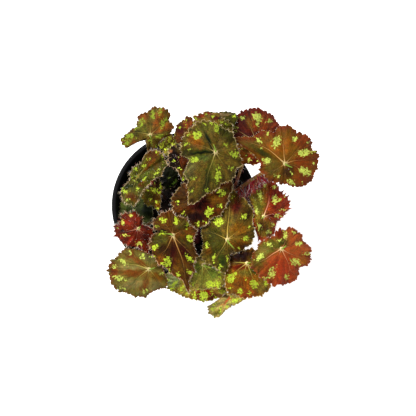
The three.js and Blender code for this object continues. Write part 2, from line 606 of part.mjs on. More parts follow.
function soil() {
  const inside = (z) => wallRadius(z) - WALL - GAP;
  const bottom = FLOOR + GAP;
  const mound = turned([
    [0, bottom],
    [inside(bottom) - CORNER - EDGE_ROUND, bottom],
    [inside(bottom + CORNER + EDGE_ROUND), bottom + CORNER + EDGE_ROUND],
    [inside(SOIL_TOP), SOIL_TOP],
    ...SOIL_BANDS.map(([radius, share]) => [radius, SOIL_TOP + share * SOIL_MOUND]),
  ], POT_SIDES);
  const place = mound.attributes.position;
  for (let i = 0; i < place.count; i += 1) {
    const [x, y, z] = [place.getX(i), place.getY(i), place.getZ(i)];
    if (z > SOIL_TOP + 0.1) place.setZ(i, z + SOIL_LUMP * lump(x, y));
  }
  let solid = toSolid(mound);
  for (const root of RHIZOMES) {
    solid = solid.subtract(toSolid(rhizome(root, TROUGH_GAP)));
    const endRadius = TROUGH_END_SHARE * root.radius + TROUGH_END_GAP;
    const endBottom = RHIZOME_HEIGHT - root.radius - 1;
    for (const [x, y] of [root.line[0], root.line.at(-1)]) {
      const end = upright(endRadius, CUT_HEIGHT, x, y, endBottom, HOLE_SIDES);
      solid = solid.subtract(toSolid(end));
    }
  }
  const holeBottom = SOIL_TOP - HOLE_DEPTH;
  for (const { foot: [x, y], thick } of LEAVES) {
    const hole = upright(thick + HOLE_CLEARANCE, CUT_HEIGHT, x, y, holeBottom, HOLE_SIDES);
    solid = solid.subtract(toSolid(hole));
  }
  return toGeometry(solid);
}

const plant = new THREE.Group();

function add(name, geometry, material) {
  const mesh = new THREE.Mesh(geometry, material);
  mesh.name = name;
  plant.add(mesh);
}

add('pot', pot(), potPlastic);
add('soil', soil(), pottingSoil);
for (const root of RHIZOMES) {
  add(root.name, rhizome(root), rhizomeSkin);
}
for (const leaf of LEAVES) {
  add(`stalk_${leaf.name}`, stalk(leaf), stalkSkin);
  add(`blade_${leaf.name}`, blade(leaf), leaf.skin);
}

export default plant;
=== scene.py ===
"""Looks of the potted eyelash begonia: leaves with lime blotches, veins and lashes, shaggy
stalks, the black nursery pot and its soil. Sizes are millimetres until mesh_object."""

import math

import bpy
import numpy as np
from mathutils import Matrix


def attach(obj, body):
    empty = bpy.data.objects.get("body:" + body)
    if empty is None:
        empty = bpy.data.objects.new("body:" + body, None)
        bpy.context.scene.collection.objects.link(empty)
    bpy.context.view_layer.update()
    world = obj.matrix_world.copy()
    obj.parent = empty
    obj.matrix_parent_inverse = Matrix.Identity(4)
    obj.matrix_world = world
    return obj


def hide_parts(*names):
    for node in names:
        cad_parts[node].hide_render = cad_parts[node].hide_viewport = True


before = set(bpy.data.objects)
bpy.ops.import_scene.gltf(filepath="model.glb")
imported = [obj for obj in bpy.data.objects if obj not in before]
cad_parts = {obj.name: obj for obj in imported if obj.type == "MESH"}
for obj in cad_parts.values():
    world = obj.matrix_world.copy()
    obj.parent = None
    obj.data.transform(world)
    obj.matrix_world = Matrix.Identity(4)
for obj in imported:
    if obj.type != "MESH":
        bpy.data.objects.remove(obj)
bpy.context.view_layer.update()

MM = 0.001
BODY = "root"

# Studio: light on a level face, haze from gloss and the darkest surface, as linear values;
# sky strength; softboxes as place and size in metres and power in watts
EXPOSURE = 1.2
HAZE = 0.004
DARKEST = 0.0015
SKY = 0.5
SOFTBOXES = (((-0.6, 0.5, 1.2), 0.4, 26), ((0.8, -0.6, 0.9), 0.8, 5))
LIGHT_TARGET = (0, 0, 0.12)
FLOOR_SIZE = 40
FLOOR_LEVEL = -0.0002
FLOOR_COLOUR = (0.92, 0.92, 0.92, 1)
FLOOR_GLOW = 0.6
CAMERA_X = 19.5
CAMERA_Y = -2.1
CAMERA_HEIGHT = 1205
CAMERA_CLIP = 50
LENS = 114.95
SENSOR = 36

# Pot
POT_HEIGHT = 105
POT_SIDES = 160
RIM_RADIUS = 60
RIM_DEPTH = 9
LIP = 0.35
LIP_DEPTH = 2.4
LIP_FOOT = 3
WALL_TOP_RADIUS = 57.9
BASE_RADIUS = 43
WALL = 1.2
FLOOR = 3.6
DRAIN_HOLES = 8
DRAIN_RADIUS = 4
DRAIN_SIDES = 24
DRAIN_CIRCLE = 26
CENTRE_PAD_RADIUS = 14
FOOT_RING_INNER = 35
FOOT_RISE = 1.6
SHOULDER_DROP = 11
SHOULDER = 0.6
CORNER = 3
EDGE_ROUND = 0.9
SHARP_EDGE = math.radians(35)

# Soil and rhizomes; ripples as height, seed and scale; crumbs as share, least and most size
SOIL_TOP = 90
SOIL_MOUND = 2
SOIL_MOUND_RADIUS = 56
SOIL_RIPPLES = ((0.7, 3, 0.35), (0.5, 5, 1.1), (0.35, 8, 2.6))
SOIL_SIDES = 240
SOIL_RINGS = 70
SOIL_EYE = 0.6
SOIL_GAP = 0.35
SOIL_FLOOR_GAP = 0.3
SOIL_BEVEL = 4
SOIL_BEVEL_SHARE = 0.93
SOIL_SEED = 7
CRUMB_COUNT = 900
CRUMB_AREA = 0.94
CRUMB_LIFT = 0.25
CRUMB_LIGHT = (0.6, 1.2)
CRUMBS = {"peat": (0.7, 0.5, 1.6), "bark": (0.22, 0.6, 2.2), "perlite": (0.08, 0.5, 1.1)}
RHIZOME_HEIGHT = 92
RHIZOME_SIDES = 20
RHIZOME_STEPS = 60
RHIZOMES = {
    "rhizome_main": (5, "rhizome", [(-27, -5), (-9, -1), (9, -1.5), (26, -5)]),
    "rhizome_back": (4.4, "rhizome", [(6.5, 11), (9, 20), (7.5, 30)]),
    "rhizome_front": (4.4, "rhizome_red", [(4, -12.5), (9, -21), (10, -32)]),
}

# Outline of a blade: the first leaf's seed, the points from one tip to the next, the gap that
# takes one more tip, how far lobes grow past the tips, notches and bulges as shares of a lobe,
# frill, and the ranges that the small tips and the notches are drawn from
LEAF_SEED = 100
TOOTH_STEPS = 8
LOBE_SPAN = 5.5
WIDEST_LOBE = 9
GROWTH = 0.5
NOTCH = 0.07
LOBE_NOTCH = 0.26
LOBE = 0.04
ROUND = 0.05
FRILL = 0.3
SMALL_TIPS = (0.95, 1.02)
NOTCH_DEPTHS = (0.3, 1.6)
NOTCH_SHIFTS = (-0.15, 0.15)
NOTCH_WIDTHS = (0.12, 0.24)

# Relief of a blade: rings from the seat to the edge, thickness at seat and edge, pillow,
# flutter and curl of the face, valleys at veins with their half widths, and creases
SHARES = np.array([
    0, 0.04, 0.09, 0.14, 0.19, 0.245, 0.3, 0.355, 0.41, 0.465, 0.52, 0.575, 0.63, 0.685,
    0.735, 0.785, 0.83, 0.87, 0.905, 0.94, 0.965, 0.983, 1,
])
UNDER_SHARES = np.append(SHARES[:-1:2], 1)
SKIN = 0.5
SKIN_EDGE = 0.28
PILLOW = 0.8
FLUTTER = 0.45
FLUTTER_WAVES = 5
CURL = 0.5
RELIEF = 0.4
RELIEF_WIDTH = 1.4
MAIN_RELIEF = 1.1
MAIN_RELIEF_WIDTH = 4
CREASE = 0.15
FACE_SINK = 0.15

# Veins: least angle between main ones in degrees, steps and ends of the lines, how far they
# bow and sway, the steps of a main vein that branches leave it at, the green stub of the
# stalk, and the pale star with its rings as radius and lift
VEIN_SPREAD = 44
VEIN_STEPS = 18
VEIN_END = 0.985
VEIN_BOW = 0.1
VEIN_SWAY = 0.02
VEIN_SIDES = 6
UNDER_VEIN_SIDES = 5
BRANCH_STEPS = 9
BRANCH_END = 0.975
BRANCH_BEND = 0.4
BRANCH_FIRST, BRANCH_LAST = 4, 13
STUB_STEPS = 8
STUB_SIDES = 7
STUB_LIFT = 0.25
STAR_SIDES = 12
STAR_LOBES = 5
STAR_RINGS = ((0.3, 0.75), (1, 0.6), (1.7, -0.1))

# Colour of a blade: how ragged its washes and blotches are and how deep the blotches count;
# uneven patches and rays of painted pleat shade, and how much of them a calm leaf has; painted
# shade in the vein valleys with its half width; dark border, red margin and pale rim as shares
# of the way out; the rim's thickness; how the underside differs; and the material slots
WASH_WOBBLE = 1.4
WASH_EDGE = 0.6
BLOTCH_WOBBLE = 0.6
BLOTCH_DEPTH = 1.1
BLOTCH_FAR = -3.0
CALM = 0.55
PATCHES = 0.14
PLEAT_SHADE = 0.26
PLEAT_SHADE_COUNTS = (13, 21, 34, 47)
PLEAT_SHADE_REACH = 14
VALLEY_SHADE = 0.3
VALLEY_SHADE_WIDTH = 0.9
BORDER = 0.3
BORDER_AT = 0.93
MARGIN_END = 0.97
MARGIN_MEAN = 0.7
MARGIN_PATCHES = 0.9
RIM_START = 0.965
RIM_WIDTH = 0.035
RIM_WEIGHT = 0.6
RIM_MEAN = 0.6
RIM_PATCHES = 0.8
RIM_AT = 0.993
RIM_THIN = 0.09
RIM_SWELL = 0.11
RIM_SIDES = 5
LASH_AT = 0.995
UNDER_WEIGHT = 0.75
UNDER_LIME = 0.5
UNDER_FADE = 0.4
SKIN_SLOT, UNDER_SLOT, VEIN_SLOT = range(3)

# Stalks: thickness of the solid blade they end under, taper, straight ends, soil hole, and
# the height and rise over which their painted shade fades out going up
BLADE = 0.9
STALK_TAPER = 0.65
STALK_SIDES = 12
APPROACH = 7
UPRIGHT_START = 6
HOLE_DEPTH = 9
STALK_DARK = 96
STALK_DARK_RANGE = 40

# Hairs: points in each, where its middle and tip are, brightness; for each kind its radius,
# bend, spread, lift and lengths, and its tones with their shares; how many stalk hairs lean
# with the rest and how far; and the height below which the soil shades them
HAIR_POINTS = 7
HAIR_MIDDLE = 0.55
HAIR_MIDDLE_BEND = 0.3
HAIR_MIDDLE_WIDTH = 0.75
HAIR_TIP = 0.95
HAIR_LIGHT = (0.8, 1.1)
LASH_RADIUS = 0.075
LASH_BEND = 0.25
LASH_SPREAD = 0.4
LASH_LIFT = 0.25
LASH_SHORTEST = 0.8
LASH_AT_TIPS = 0.8
LASH_TONES = {"white": 0.2, "hair_cream": 0.65, "hair_pink": 0.15}
RED_LASH_TONES = {"white": 0.2, "hair_cream": 0.5, "hair_crimson": 0.3}
BRISTLE_RADIUS = 0.05
BRISTLE_BEND = 0.35
BRISTLE_SPREAD = 0.45
BRISTLE_LIFT = 0.9
BRISTLE_LENGTHS = (1.2, 2.8)
BRISTLE_TONES = {"white": 0.4, "hair_cream": 0.3, "hair_tan": 0.3}
RED_BRISTLE_TONES = {"white": 0.4, "hair_cream": 0.3, "hair_crimson": 0.3}
FUZZ_DENSITY = 1.6
FUZZ = dict(
    share=(0.14, 0.985), way=(0, 0, 0), lengths=(1.2, 3.2), radius=0.13,
    tones={"white": 0.3, "hair_pink": 0.25, "hair_maroon": 0.45},
)
SHAG_DENSITY = 60
SHAG = dict(radius=0.21, tones={
    "white": 0.12, "hair_crimson": 0.38, "hair_maroon": 0.18, "hair_tan": 0.14,
    "hair_shade": 0.18,
})
STALK_HAIR_BEND = 0.8
STALK_HAIR_SPREAD = 0.33
STALK_HAIR_ALONG = (0.2, 0.45)
STALK_HAIR_ROOT = 0.93
LEANING_SHARE = 0.85
LEANING_PULL = 0.45
SHADE_LEVEL = 104
SHADE_RANGE = 34

# Colours as they look under the studio light, 0 to 255
COLOURS = {
    "olive_brown": (98, 80, 30), "olive": (92, 88, 30), "deep_olive": (60, 58, 18),
    "bronze_olive": (104, 84, 32), "bronze": (118, 78, 22), "bronze_brown": (100, 62, 16),
    "brown": (86, 48, 14), "dark_brown": (62, 40, 12), "orange": (142, 84, 22),
    "orange_brown": (150, 86, 28), "orange_red": (148, 72, 34), "red_brown": (124, 58, 22),
    "strong_red": (120, 40, 18), "red": (140, 42, 24), "dark_red": (100, 32, 12),
    "maroon": (66, 22, 10), "black_maroon": (30, 12, 8), "khaki": (124, 110, 50),
    "pale_khaki": (140, 126, 74), "grey_olive": (110, 102, 58), "grey_green": (96, 104, 68),
    "green_grey": (74, 84, 44), "green": (82, 92, 34), "deep_green": (44, 52, 16),
    "black_green": (20, 26, 8), "green_olive": (84, 84, 28), "grey_brown": (120, 100, 70),
    "tan": (196, 162, 96), "vein_orange": (212, 154, 78), "green_vein": (140, 150, 72),
    "gold": (190, 158, 62), "yellow": (186, 170, 72), "pink_vein": (190, 120, 92),
    "pink_orange": (216, 142, 94), "cream": (228, 206, 144), "pink_cream": (230, 188, 142),
    "lime_rim": (196, 204, 96), "grey_rim": (150, 150, 118), "lime": (186, 208, 60),
    "pale_lime": (202, 216, 92), "bright_lime": (192, 214, 56), "yellow_lime": (204, 206, 84),
    "green_lime": (112, 152, 54), "petiole": (136, 160, 58), "star": (220, 200, 138),
    "underside": (112, 34, 30), "under_vein": (160, 112, 84), "stalk_red": (126, 48, 30),
    "stalk_green": (128, 112, 52), "white": (240, 238, 232), "hair_cream": (236, 212, 168),
    "hair_pink": (222, 150, 140), "hair_crimson": (178, 34, 56), "hair_maroon": (104, 26, 36),
    # peat, bark, perlite and rhizome are darker than the real ones: partly painted shade deep in
    # the pot
    "hair_tan": (190, 128, 84), "hair_shade": (26, 22, 34), "peat": (11, 9, 8),
    "bark": (27, 20, 14), "perlite": (84, 80, 72), "rhizome": (31, 23, 16),
    "rhizome_red": (50, 16, 16), "dull_red": (126, 52, 26), "umber": (112, 78, 44),
    "margin_red": (128, 44, 30), "rust": (128, 72, 26), "brown_rust": (108, 60, 18),
    "light_green": (114, 112, 44), "brick": (146, 54, 28), "olive_vein": (150, 134, 58),
    "bright_vein": (158, 166, 68), "leaf_green": (74, 102, 42),
}

# What a leaf has unless its own entry says otherwise
DEFAULTS = dict(
    folds=(), pleats=(), route=(), ribs=(), spots=(), lime="lime", star="star", lime_light=1,
    lashes=(0.8, 1.8), bristles=0, margin=None, shag=None, sharp=False, contrast=1,
)
LEAVES = {}


def grow(name, slot, **traits):
    """One leaf of the plant; its plan points are millimetres from its seat.

    seat: where stalk and blade meet; lean: slope in X and Y; droop: fall of the edge;
    ruffle: waves round the edge and their height; folds: bearing and slope;
    pleats: bearing, depth and width; foot, route, thick: the stalk's base, way and radius;
    sinus: bearing and length of the green stub; ribs: bearings of the main veins;
    margin: where a red margin starts, and its strength; lashes: hairs a millimetre, longest;
    bristles: number of standing hairs; shag: stretch of stalk, lean and lengths of long hair;
    spots: lime ovals as x, y, width, height, turn; washes: the same with a colour first;
    tips: the ends of the lobes or teeth; light and lime_light: painted light and shade,
    factors that brighten or darken the leaf and its blotches for the light or shade it lies in.
    """
    LEAVES[name] = {**DEFAULTS, "slot": slot, **traits}


grow(
    "crown", "leaf_olive", seat=(25.4, 41.3, 175.5), lean=(0.05, 0.24), droop=-6, ruffle=(9, 1.8),
    pleats=[(188, 3.5, 16)], foot=(15.5, 13), route=[(20, 27, 134)], thick=2.1, sinus=(85, 6),
    ribs=[254, 309, 167, 122, 355, 30, 78, 205], base="olive_brown", vein="olive_vein",
    rim="cream", light=0.73, lime_light=0.71, lashes=(1, 2),
    spots=[
        (-14.3, 13.3, 7, 7.7, -40), (-21.2, 13.3, 2.7, 2.7), (-22.6, 6.5, 3.9, 2.3),
        (-9, 21.6, 2.7, 2.3), (-3, 22.9, 1.9, 2.7), (-16.4, -5.7, 8.5, 4.6, -10),
        (-17.3, -20.2, 3.9, 3.1), (-18.8, -29.7, 3.1, 3.1), (-7.2, -29.4, 3.9, 3.9),
        (1.2, 18.7, 3.9, 7.7), (7.8, 5.3, 3.5, 1.9, 15), (14.6, -1.5, 7.7, 5, 10),
        (11.9, -12.2, 5, 2.7, 5), (2.2, -17.5, 4.6, 11.6, -10), (2.5, -11.5, 1.5, 2.3),
        (-19.8, 1.5, 2.3, 1.5),
    ],
    # Painted shade and sheen: deep_green and black_green washes are shade in the valleys,
    # dark_brown is shade at the drooping tip, grey_olive is sheen on the lower left.
    washes=[
        ("orange", -15.6, 8.9, 12.4, 7, -40), ("grey_olive", -21.4, -12.4, 10.8, 20.1),
        ("deep_green", -12.1, 0, 23.2, 3.9, 1), ("green", -9.8, -4.3, 15.5, 4.6, -5),
        ("deep_green", -5.9, 10.1, 3.1, 15.5, 25), ("deep_olive", 8, 15.5, 17, 9.3, -40),
        ("bronze_olive", 11.1, 2.3, 10.8, 6.2, -10), ("bronze_olive", 13.5, -8.5, 10.1, 10.8),
        ("deep_green", -5.9, -18.6, 4.6, 26.3, -12), ("olive", -2, -15.5, 6.2, 20.1),
        ("dark_brown", -18.7, -38.4, 4.6, 5.4), ("bronze_olive", -15.2, -24, 10.8, 7.7),
        ("olive", -7.4, 18.6, 12.4, 7), ("black_green", -11.3, -0.5, 17, 1.7, 2),
        ("black_green", -5.5, 8.9, 1.9, 12.4, 25),
    ],
    tips=[
        (-27, -2), (-27, 7), (-24, 15), (-20, 18.5), (-15, 23), (-10, 25), (-5, 24), (0, 22.5),
        (4, 20.5), (9, 17.5), (13, 15), (15, 10), (17, 2), (20, -5), (20.5, -10), (15.5, -13),
        (15, -18), (12.5, -21.5), (6, -23.5), (3, -27), (-3, -31), (-9, -33.5), (-12.5, -37),
        (-17, -40), (-21, -40.5), (-21.5, -35), (-21.5, -30), (-22.5, -25.5), (-21, -23),
        (-23, -20), (-25, -16), (-22.5, -11), (-20, -5),
    ],
)
grow(
    "upper_right", "leaf_bronze", seat=(79.8, 32.6, 166), lean=(-0.16, -0.06), droop=-6,
    ruffle=(11, 1.8), pleats=[(250, 2, 18)], foot=(24, 3),
    route=[(30, 5, 114), (44.4, 13, 135), (63.8, 26.2, 149)], thick=2.2, sinus=(312, 6.5),
    ribs=[152, 84, 7, 204, 55, 266, 338], base="bronze", vein="vein_orange", rim="bronze",
    lime="pale_lime", light=0.78, lime_light=0.84, margin=(0.74, 0.75), contrast=CALM,
    shag=((0.42, 0.93), (0.9, -1.7, -0.2), (2.5, 9.5)),
    spots=[
        (-20.5, 18.4, 5.9, 4.7, -40), (-13.3, 23.5, 2, 2.3), (-6.4, 17.2, 6.3, 10.2, -25),
        (8.3, 19.6, 4.3, 4.3), (15.2, 8.8, 10.2, 5.9, 15), (18.5, 16.8, 2.7, 2, 45),
        (22.3, 9.1, 3.1, 2), (23.2, 0.4, 2, 3.1, -50), (15.7, -5.8, 10.2, 6.3, -25),
        (5.2, -7.1, 2.3, 2.3), (-14.8, 2.2, 6.3, 4.7), (-6.1, -9.8, 4.7, 3.1),
        (5, -14.2, 6.6, 3.9, -30), (14.2, -14.5, 1.6, 1.6), (-18.1, 12.2, 2.3, 1.6),
    ],
    washes=[
        ("olive_brown", -30.6, 16.9, 20.3, 7.8, -10), ("orange", -7.1, 13, 18.8, 7.8, -20),
        ("orange", 1.5, 14.6, 9.4, 10.9), ("red_brown", 14, 2.8, 14.1, 26.6),
        ("red_brown", 13.2, -12.8, 14.1, 6.3), ("deep_olive", -17.3, 8.3, 17.2, 3.9, -32),
        ("olive_brown", -10.2, -2.6, 12.5, 12.5), ("dark_brown", 2.7, -5.8, 10.2, 10.2),
        ("red_brown", 11.7, 16.9, 10.9, 9.4), ("bronze", 7.7, 10.7, 7.8, 7.8),
    ],
    tips=[
        (-41, 20), (-31, 21), (-24.5, 21), (-21.5, 23.5), (-18, 25.5), (-12, 25.5), (-9, 24),
        (-3.5, 30), (2, 31), (8, 27), (13, 25), (17.5, 22.5), (22.5, 17), (21, 12.5), (25.5, 10.5),
        (27.5, 6.5), (26.5, 1.5), (26.5, -4), (23, -7), (21.5, -13.5), (16.5, -17), (10, -18),
        (6.5, -18), (0.5, -15.5), (-3, -16), (-7.5, -14), (-12, -13), (-15.5, -10), (-20.5, -4.5),
        (-19, 1), (-23.5, 7), (-30, 11.5), (-38.5, 17),
    ],
)
grow(
    "back_right", "leaf_red_brown", seat=(59.1, 49.9, 146.5), lean=(-0.1, -0.45), droop=-4,
    ruffle=(8, 1.6), foot=(17, 27), route=[(30, 38, 118), (47, 47, 135)], thick=1.8,
    sinus=(280, 3), ribs=[150, 121, 92, 62, 30, 355, 200, 250, 310], base="dark_red", vein="tan",
    rim="dark_red", lime="pale_lime", light=0.71, lime_light=0.68, margin=(0.8, 0.4),
    spots=[
        (0.1, 20.9, 7.2, 9.6, 15), (0.6, 14.5, 2.4, 4), (-12.1, 20.3, 5.2, 2.8, 10),
        (9.8, 18.2, 5.2, 3.2, 30), (-19.4, 13, 6.4, 3.2), (-18.2, 9.8, 4, 2.4),
        (4.2, 9.4, 1.6, 1.6),
    ],
    washes=[
        ("maroon", -11.7, 15.7, 14.3, 9.6, 30), ("red_brown", 3.4, 16.5, 20.7, 14.3),
        ("maroon", -2.9, 5.4, 27.1, 6.4), ("bronze", -6.1, 15.7, 4, 9.6, 20),
    ],
    tips=[
        (-23.5, 14), (-20.5, 18), (-17.5, 22.5), (-13, 26.5), (-6, 28.5), (1.5, 29), (7, 26.5),
        (13.5, 22.5), (17, 16), (20, 13), (19, 4), (15, -5), (8, -10), (1, -11), (-7, -6.5),
        (-14, -2.5), (-20, 1), (-24.5, 8),
    ],
)
grow(
    "back_left", "leaf_bronze", seat=(-26.6, 56.1, 146.5), lean=(0.15, -0.35), droop=-3,
    ruffle=(8, 1.5), folds=[(270, -0.8)], foot=(-1, 28),
    route=[(-2, 36, 104), (-6, 44, 112), (-14, 51, 120), (-22, 55, 130)], thick=1.7,
    sinus=(262, 3), ribs=[178, 90, 55, 8, 200, 130, 290], base="bronze_olive", vein="olive_vein",
    rim="olive", light=0.78, lime_light=0.47, margin=(0.86, 0.4),
    spots=[
        (-16.2, -0.8, 8.3, 4.7, -10), (-18.9, -6.2, 5.2, 3.1, 30), (-7.4, 10.5, 4.8, 6.8),
        (2.1, 15.7, 3.5, 8.3, 15), (3.5, 19.6, 3.1, 2.1), (7.6, 18.5, 2.3, 6.2, -12),
        (9.7, 9.3, 3.1, 8.3, -12), (12.5, 12.3, 3.1, 3.1), (7.6, -0.8, 8.3, 3.1, 20),
        (0.8, -5.1, 3.1, 5.7), (-11, 6.3, 1.8, 4.1, -20), (-21.1, -3.5, 3.1, 2.1),
        (4.7, -8.8, 2.1, 2.1),
    ],
    washes=[
        ("rust", -6.2, 15.3, 9.6, 7.2, 30), ("rust", 6, 13, 5.6, 19.1, -25),
        ("rust", 11.8, 5.5, 14.3, 4.8, 12), ("olive", -6.2, 5.5, 11.2, 8),
        ("deep_olive", -11.3, 1.6, 9.6, 3.2, 10), ("olive_brown", -0.1, 10.3, 4.8, 14.3),
        ("rust", -13.7, -5.6, 4.8, 4), ("rust", 5.5, 3.2, 6.4, 2.4, 20),
    ],
    tips=[
        (-12, 5.5), (-10.5, 15), (-8, 17), (-5, 18.5), (-0.5, 20.5), (1, 23), (3.5, 23.5),
        (10, 22.5), (14, 20.5), (15.3, 18), (16, 15.5), (14, 12), (17, 9.7), (19, 6), (17, 3),
        (15.7, -0.3), (11, -1.5), (7.5, -4.5), (6, -7), (5.5, -9.5), (1, -11), (-2.5, -11.5),
        (-3, -8), (-4, -3.5), (-10, -5.3), (-14.5, -7.6), (-19, -10), (-23, -7), (-24, -3),
        (-20.5, 0.5), (-16.5, 3), (-14, 6),
    ],
)
grow(
    "left_cupped", "leaf_bronze", seat=(-36.9, 23, 143), lean=(0.15, 0.1), droop=-1,
    ruffle=(9, 1.4), folds=[(123, 0.35), (303, 0.45)], foot=(-23, 4.5), route=[(-26, 9, 114)],
    thick=1.7, sinus=(150, 2.5), ribs=[49, 255, 75, 22, 235, 215, 290, 330], base="olive",
    vein="olive_vein", rim="pink_cream", star="olive_vein", light=0.68, lime_light=0.85,
    lashes=(1.7, 3.4), bristles=90,
    spots=[
        (9.5, 14.2, 3.4, 2.9, -20), (5.2, 8.3, 3.4, 3.4), (15.3, 19.3, 1.7, 3.1, 40),
        (20.2, 16.5, 1.2, 6.2, 5), (15.6, 2.9, 2.4, 5.8, -30), (5.2, -2.1, 2.1, 6.2, -40),
        (-1.2, 6.2, 1.8, 3.4, 30), (-3.3, 6.9, 1.4, 2.8), (-4, -0.2, 1.4, 3.8, 35),
        (-2.8, -3.3, 3.4, 1.4, -30), (-9.8, -11.8, 5.8, 2.8, -10), (-12.5, -9.4, 2.1, 1.4),
        (-7.6, -18.5, 2.8, 2.1), (0.3, -10.3, 2.1, 2.8), (9.2, -6.7, 1.4, 2.8, -30),
    ],
    # Painted shadow: the deep_green wash is a band of shade.
    washes=[
        ("brown_rust", 10.8, 10.5, 7.2, 17.6, -35), ("brown_rust", 12.4, 19.3, 11.2, 6.4, 20),
        ("olive_brown", 16.4, 8.5, 4.8, 9.6, -30), ("brown_rust", -4.6, -16.3, 10.4, 5.6, -20),
        ("deep_green", -7.6, -7.9, 12, 4, 8), ("deep_olive", 1.2, -1.1, 4, 9.6, -35),
        ("green", 8.4, 2.9, 4, 12.8, -40), ("brown_rust", 3.6, -5.9, 4, 6.4, -40),
    ],
    tips=[
        (4, 12.5), (6, 17), (10, 20), (15, 21), (20, 18), (21.5, 15), (24, 9), (21, 6), (19.5, 0),
        (15, -0.5), (13, -2), (10, -5.5), (5, -10), (2.5, -14), (1, -18.5), (-2.5, -23.5),
        (-7.5, -21.5), (-12, -18), (-13.5, -12.5), (-12.5, -9), (-10, -6.8), (-5.5, -2),
        (-5.5, 2.5), (-3, 6.5), (2, 9.5),
    ],
)
grow(
    "left_inner", "leaf_dark", seat=(-23.7, 17, 132.5), lean=(0, 0.3), droop=-1.5, ruffle=(6, 1.2),
    pleats=[(262, 2, 25)], foot=(-16, 5.5), route=[(-18.5, 9, 109)], thick=1.4, sinus=(70, 2),
    ribs=[240, 262, 285, 40, 100, 160, 320], base="olive_brown", vein="olive_brown",
    rim="lime_rim", star="brown", light=2.45, lime_light=2.62, lashes=(1.3, 2.6), bristles=30,
    spots=[
        (0.2, -4.8, 7.7, 3.6, -10), (4.4, -2, 1.3, 4.8), (-5.4, -5.7, 2.4, 2.4),
        (2, -14.3, 3.6, 1.8), (2.6, -19.4, 2.8, 1.6), (-3.6, -11.8, 1.6, 1.6),
    ],
    washes=[
        ("black_maroon", 0.7, 1.1, 10.5, 11.3), ("red", -3, 2.9, 2.9, 3.2),
        ("deep_olive", -4.4, -9.4, 8.1, 6.5), ("dark_brown", 1.2, -11, 6.5, 4.8),
        ("bronze_brown", 2.8, -16.7, 4, 4.8),
    ],
    tips=[
        (-11, -6), (-9, -1), (-7, 5), (-2, 7), (3, 4.5), (5, 1.5), (6.5, -2.5), (4.5, -7),
        (5, -12), (4.5, -17.5), (2.5, -21.5), (-2.5, -16.5), (-6, -17.5), (-8, -15), (-11, -10.5),
    ],
)
grow(
    "back_small", "leaf_olive", seat=(-12.4, 47.4, 132.5), lean=(-0.05, -0.1), droop=-2,
    ruffle=(5, 1.1), foot=(1, 21), route=[(-2, 30, 107), (-9, 40, 121)], thick=1.3,
    sinus=(120, 1.5), base="olive", vein="olive", rim="pink_cream", star="olive", light=3.37,
    lime_light=2.6, lashes=(1.3, 2.6), bristles=30,
    spots=[
        (-5.6, 1, 4.8, 4.8), (0.3, 5.3, 2.4, 6.5, -15), (3.1, 1.6, 2.4, 7.3, -15),
        (-3.8, 6.2, 3.2, 3.2), (-1.2, -1.9, 2.4, 3.2),
    ],
    washes=[("deep_olive", -2, -1.1, 6.5, 4.8), ("bronze_olive", 2, 6.2, 6.5, 4.8)],
    tips=[
        (-8, 2), (-4, 5.5), (2, 10), (6.5, 8.5), (7, 4), (6, -1), (4, -6), (0, -7), (-3, -6),
        (-6, -2),
    ],
)
grow(
    "hanging", "leaf_dark", seat=(-3.3, 37.3, 158.5), lean=(0.3, 0.3), droop=-2, ruffle=(5, 1.2),
    foot=(0, 14), route=[(-0.5, 20, 114), (-2, 30, 138)], thick=1.5, sinus=(100, 1.5),
    base="dark_brown", vein="red_brown", rim="pink_cream", star="maroon", light=0.45,
    lime_light=1.6, lashes=(1.3, 3), bristles=30,
    spots=[
        (-3.8, -2.2, 1.6, 0.9), (0.3, -8.3, 1.8, 1.2), (3.1, -16.2, 1.4, 2.8, -20),
        (5.5, -8.7, 0.8, 0.8),
    ],
    washes=[
        ("black_maroon", -4, 1.6, 7.9, 14.2), ("pink_orange", -6.7, 5.9, 2.7, 2.4),
        ("red_brown", 4.7, -2.4, 7.1, 7.9), ("bronze", 1.5, -11.8, 5.5, 6.3),
        ("olive_brown", 2.3, 7.1, 7.9, 6.3),
    ],
    tips=[
        (-8.5, 6), (-5, 9), (0, 10), (6, 8), (8, 2), (8.5, -3), (6, -9), (8, -14), (6.5, -21),
        (2, -17), (0, -12), (-1.5, -9), (-4, -6.5), (-7.5, -5.5), (-8.5, -1),
    ],
)
grow(
    "back_red", "leaf_red_brown", seat=(5.4, 56.3, 148), lean=(0.1, -0.3), droop=-3,
    ruffle=(6, 1.2), foot=(5, 38.5), route=[(5, 45, 116)], thick=1.5, sinus=(270, 1.5),
    base="brown", vein="brown", rim="lime_rim", star="brown", light=0.99, lime_light=0.65,
    spots=[(-4, 9.3, 2, 5.2), (4.9, 13.2, 4, 2.4), (3, 8.4, 2.4, 1.6), (-8.2, 6, 1.6, 2.4)],
    washes=[
        ("maroon", -7.4, 3.7, 6.4, 6.4), ("red_brown", -1, 8.4, 8, 6.4),
        ("olive_brown", 1.4, 2.1, 8, 4.8),
    ],
    tips=[
        (-13, -2), (-11.5, 4.5), (-11, 8), (-6.5, 11.5), (-3, 15), (1, 14), (4, 10), (8, 4),
        (7, -4), (2, -9), (-5, -9), (-11, -6.5),
    ],
)
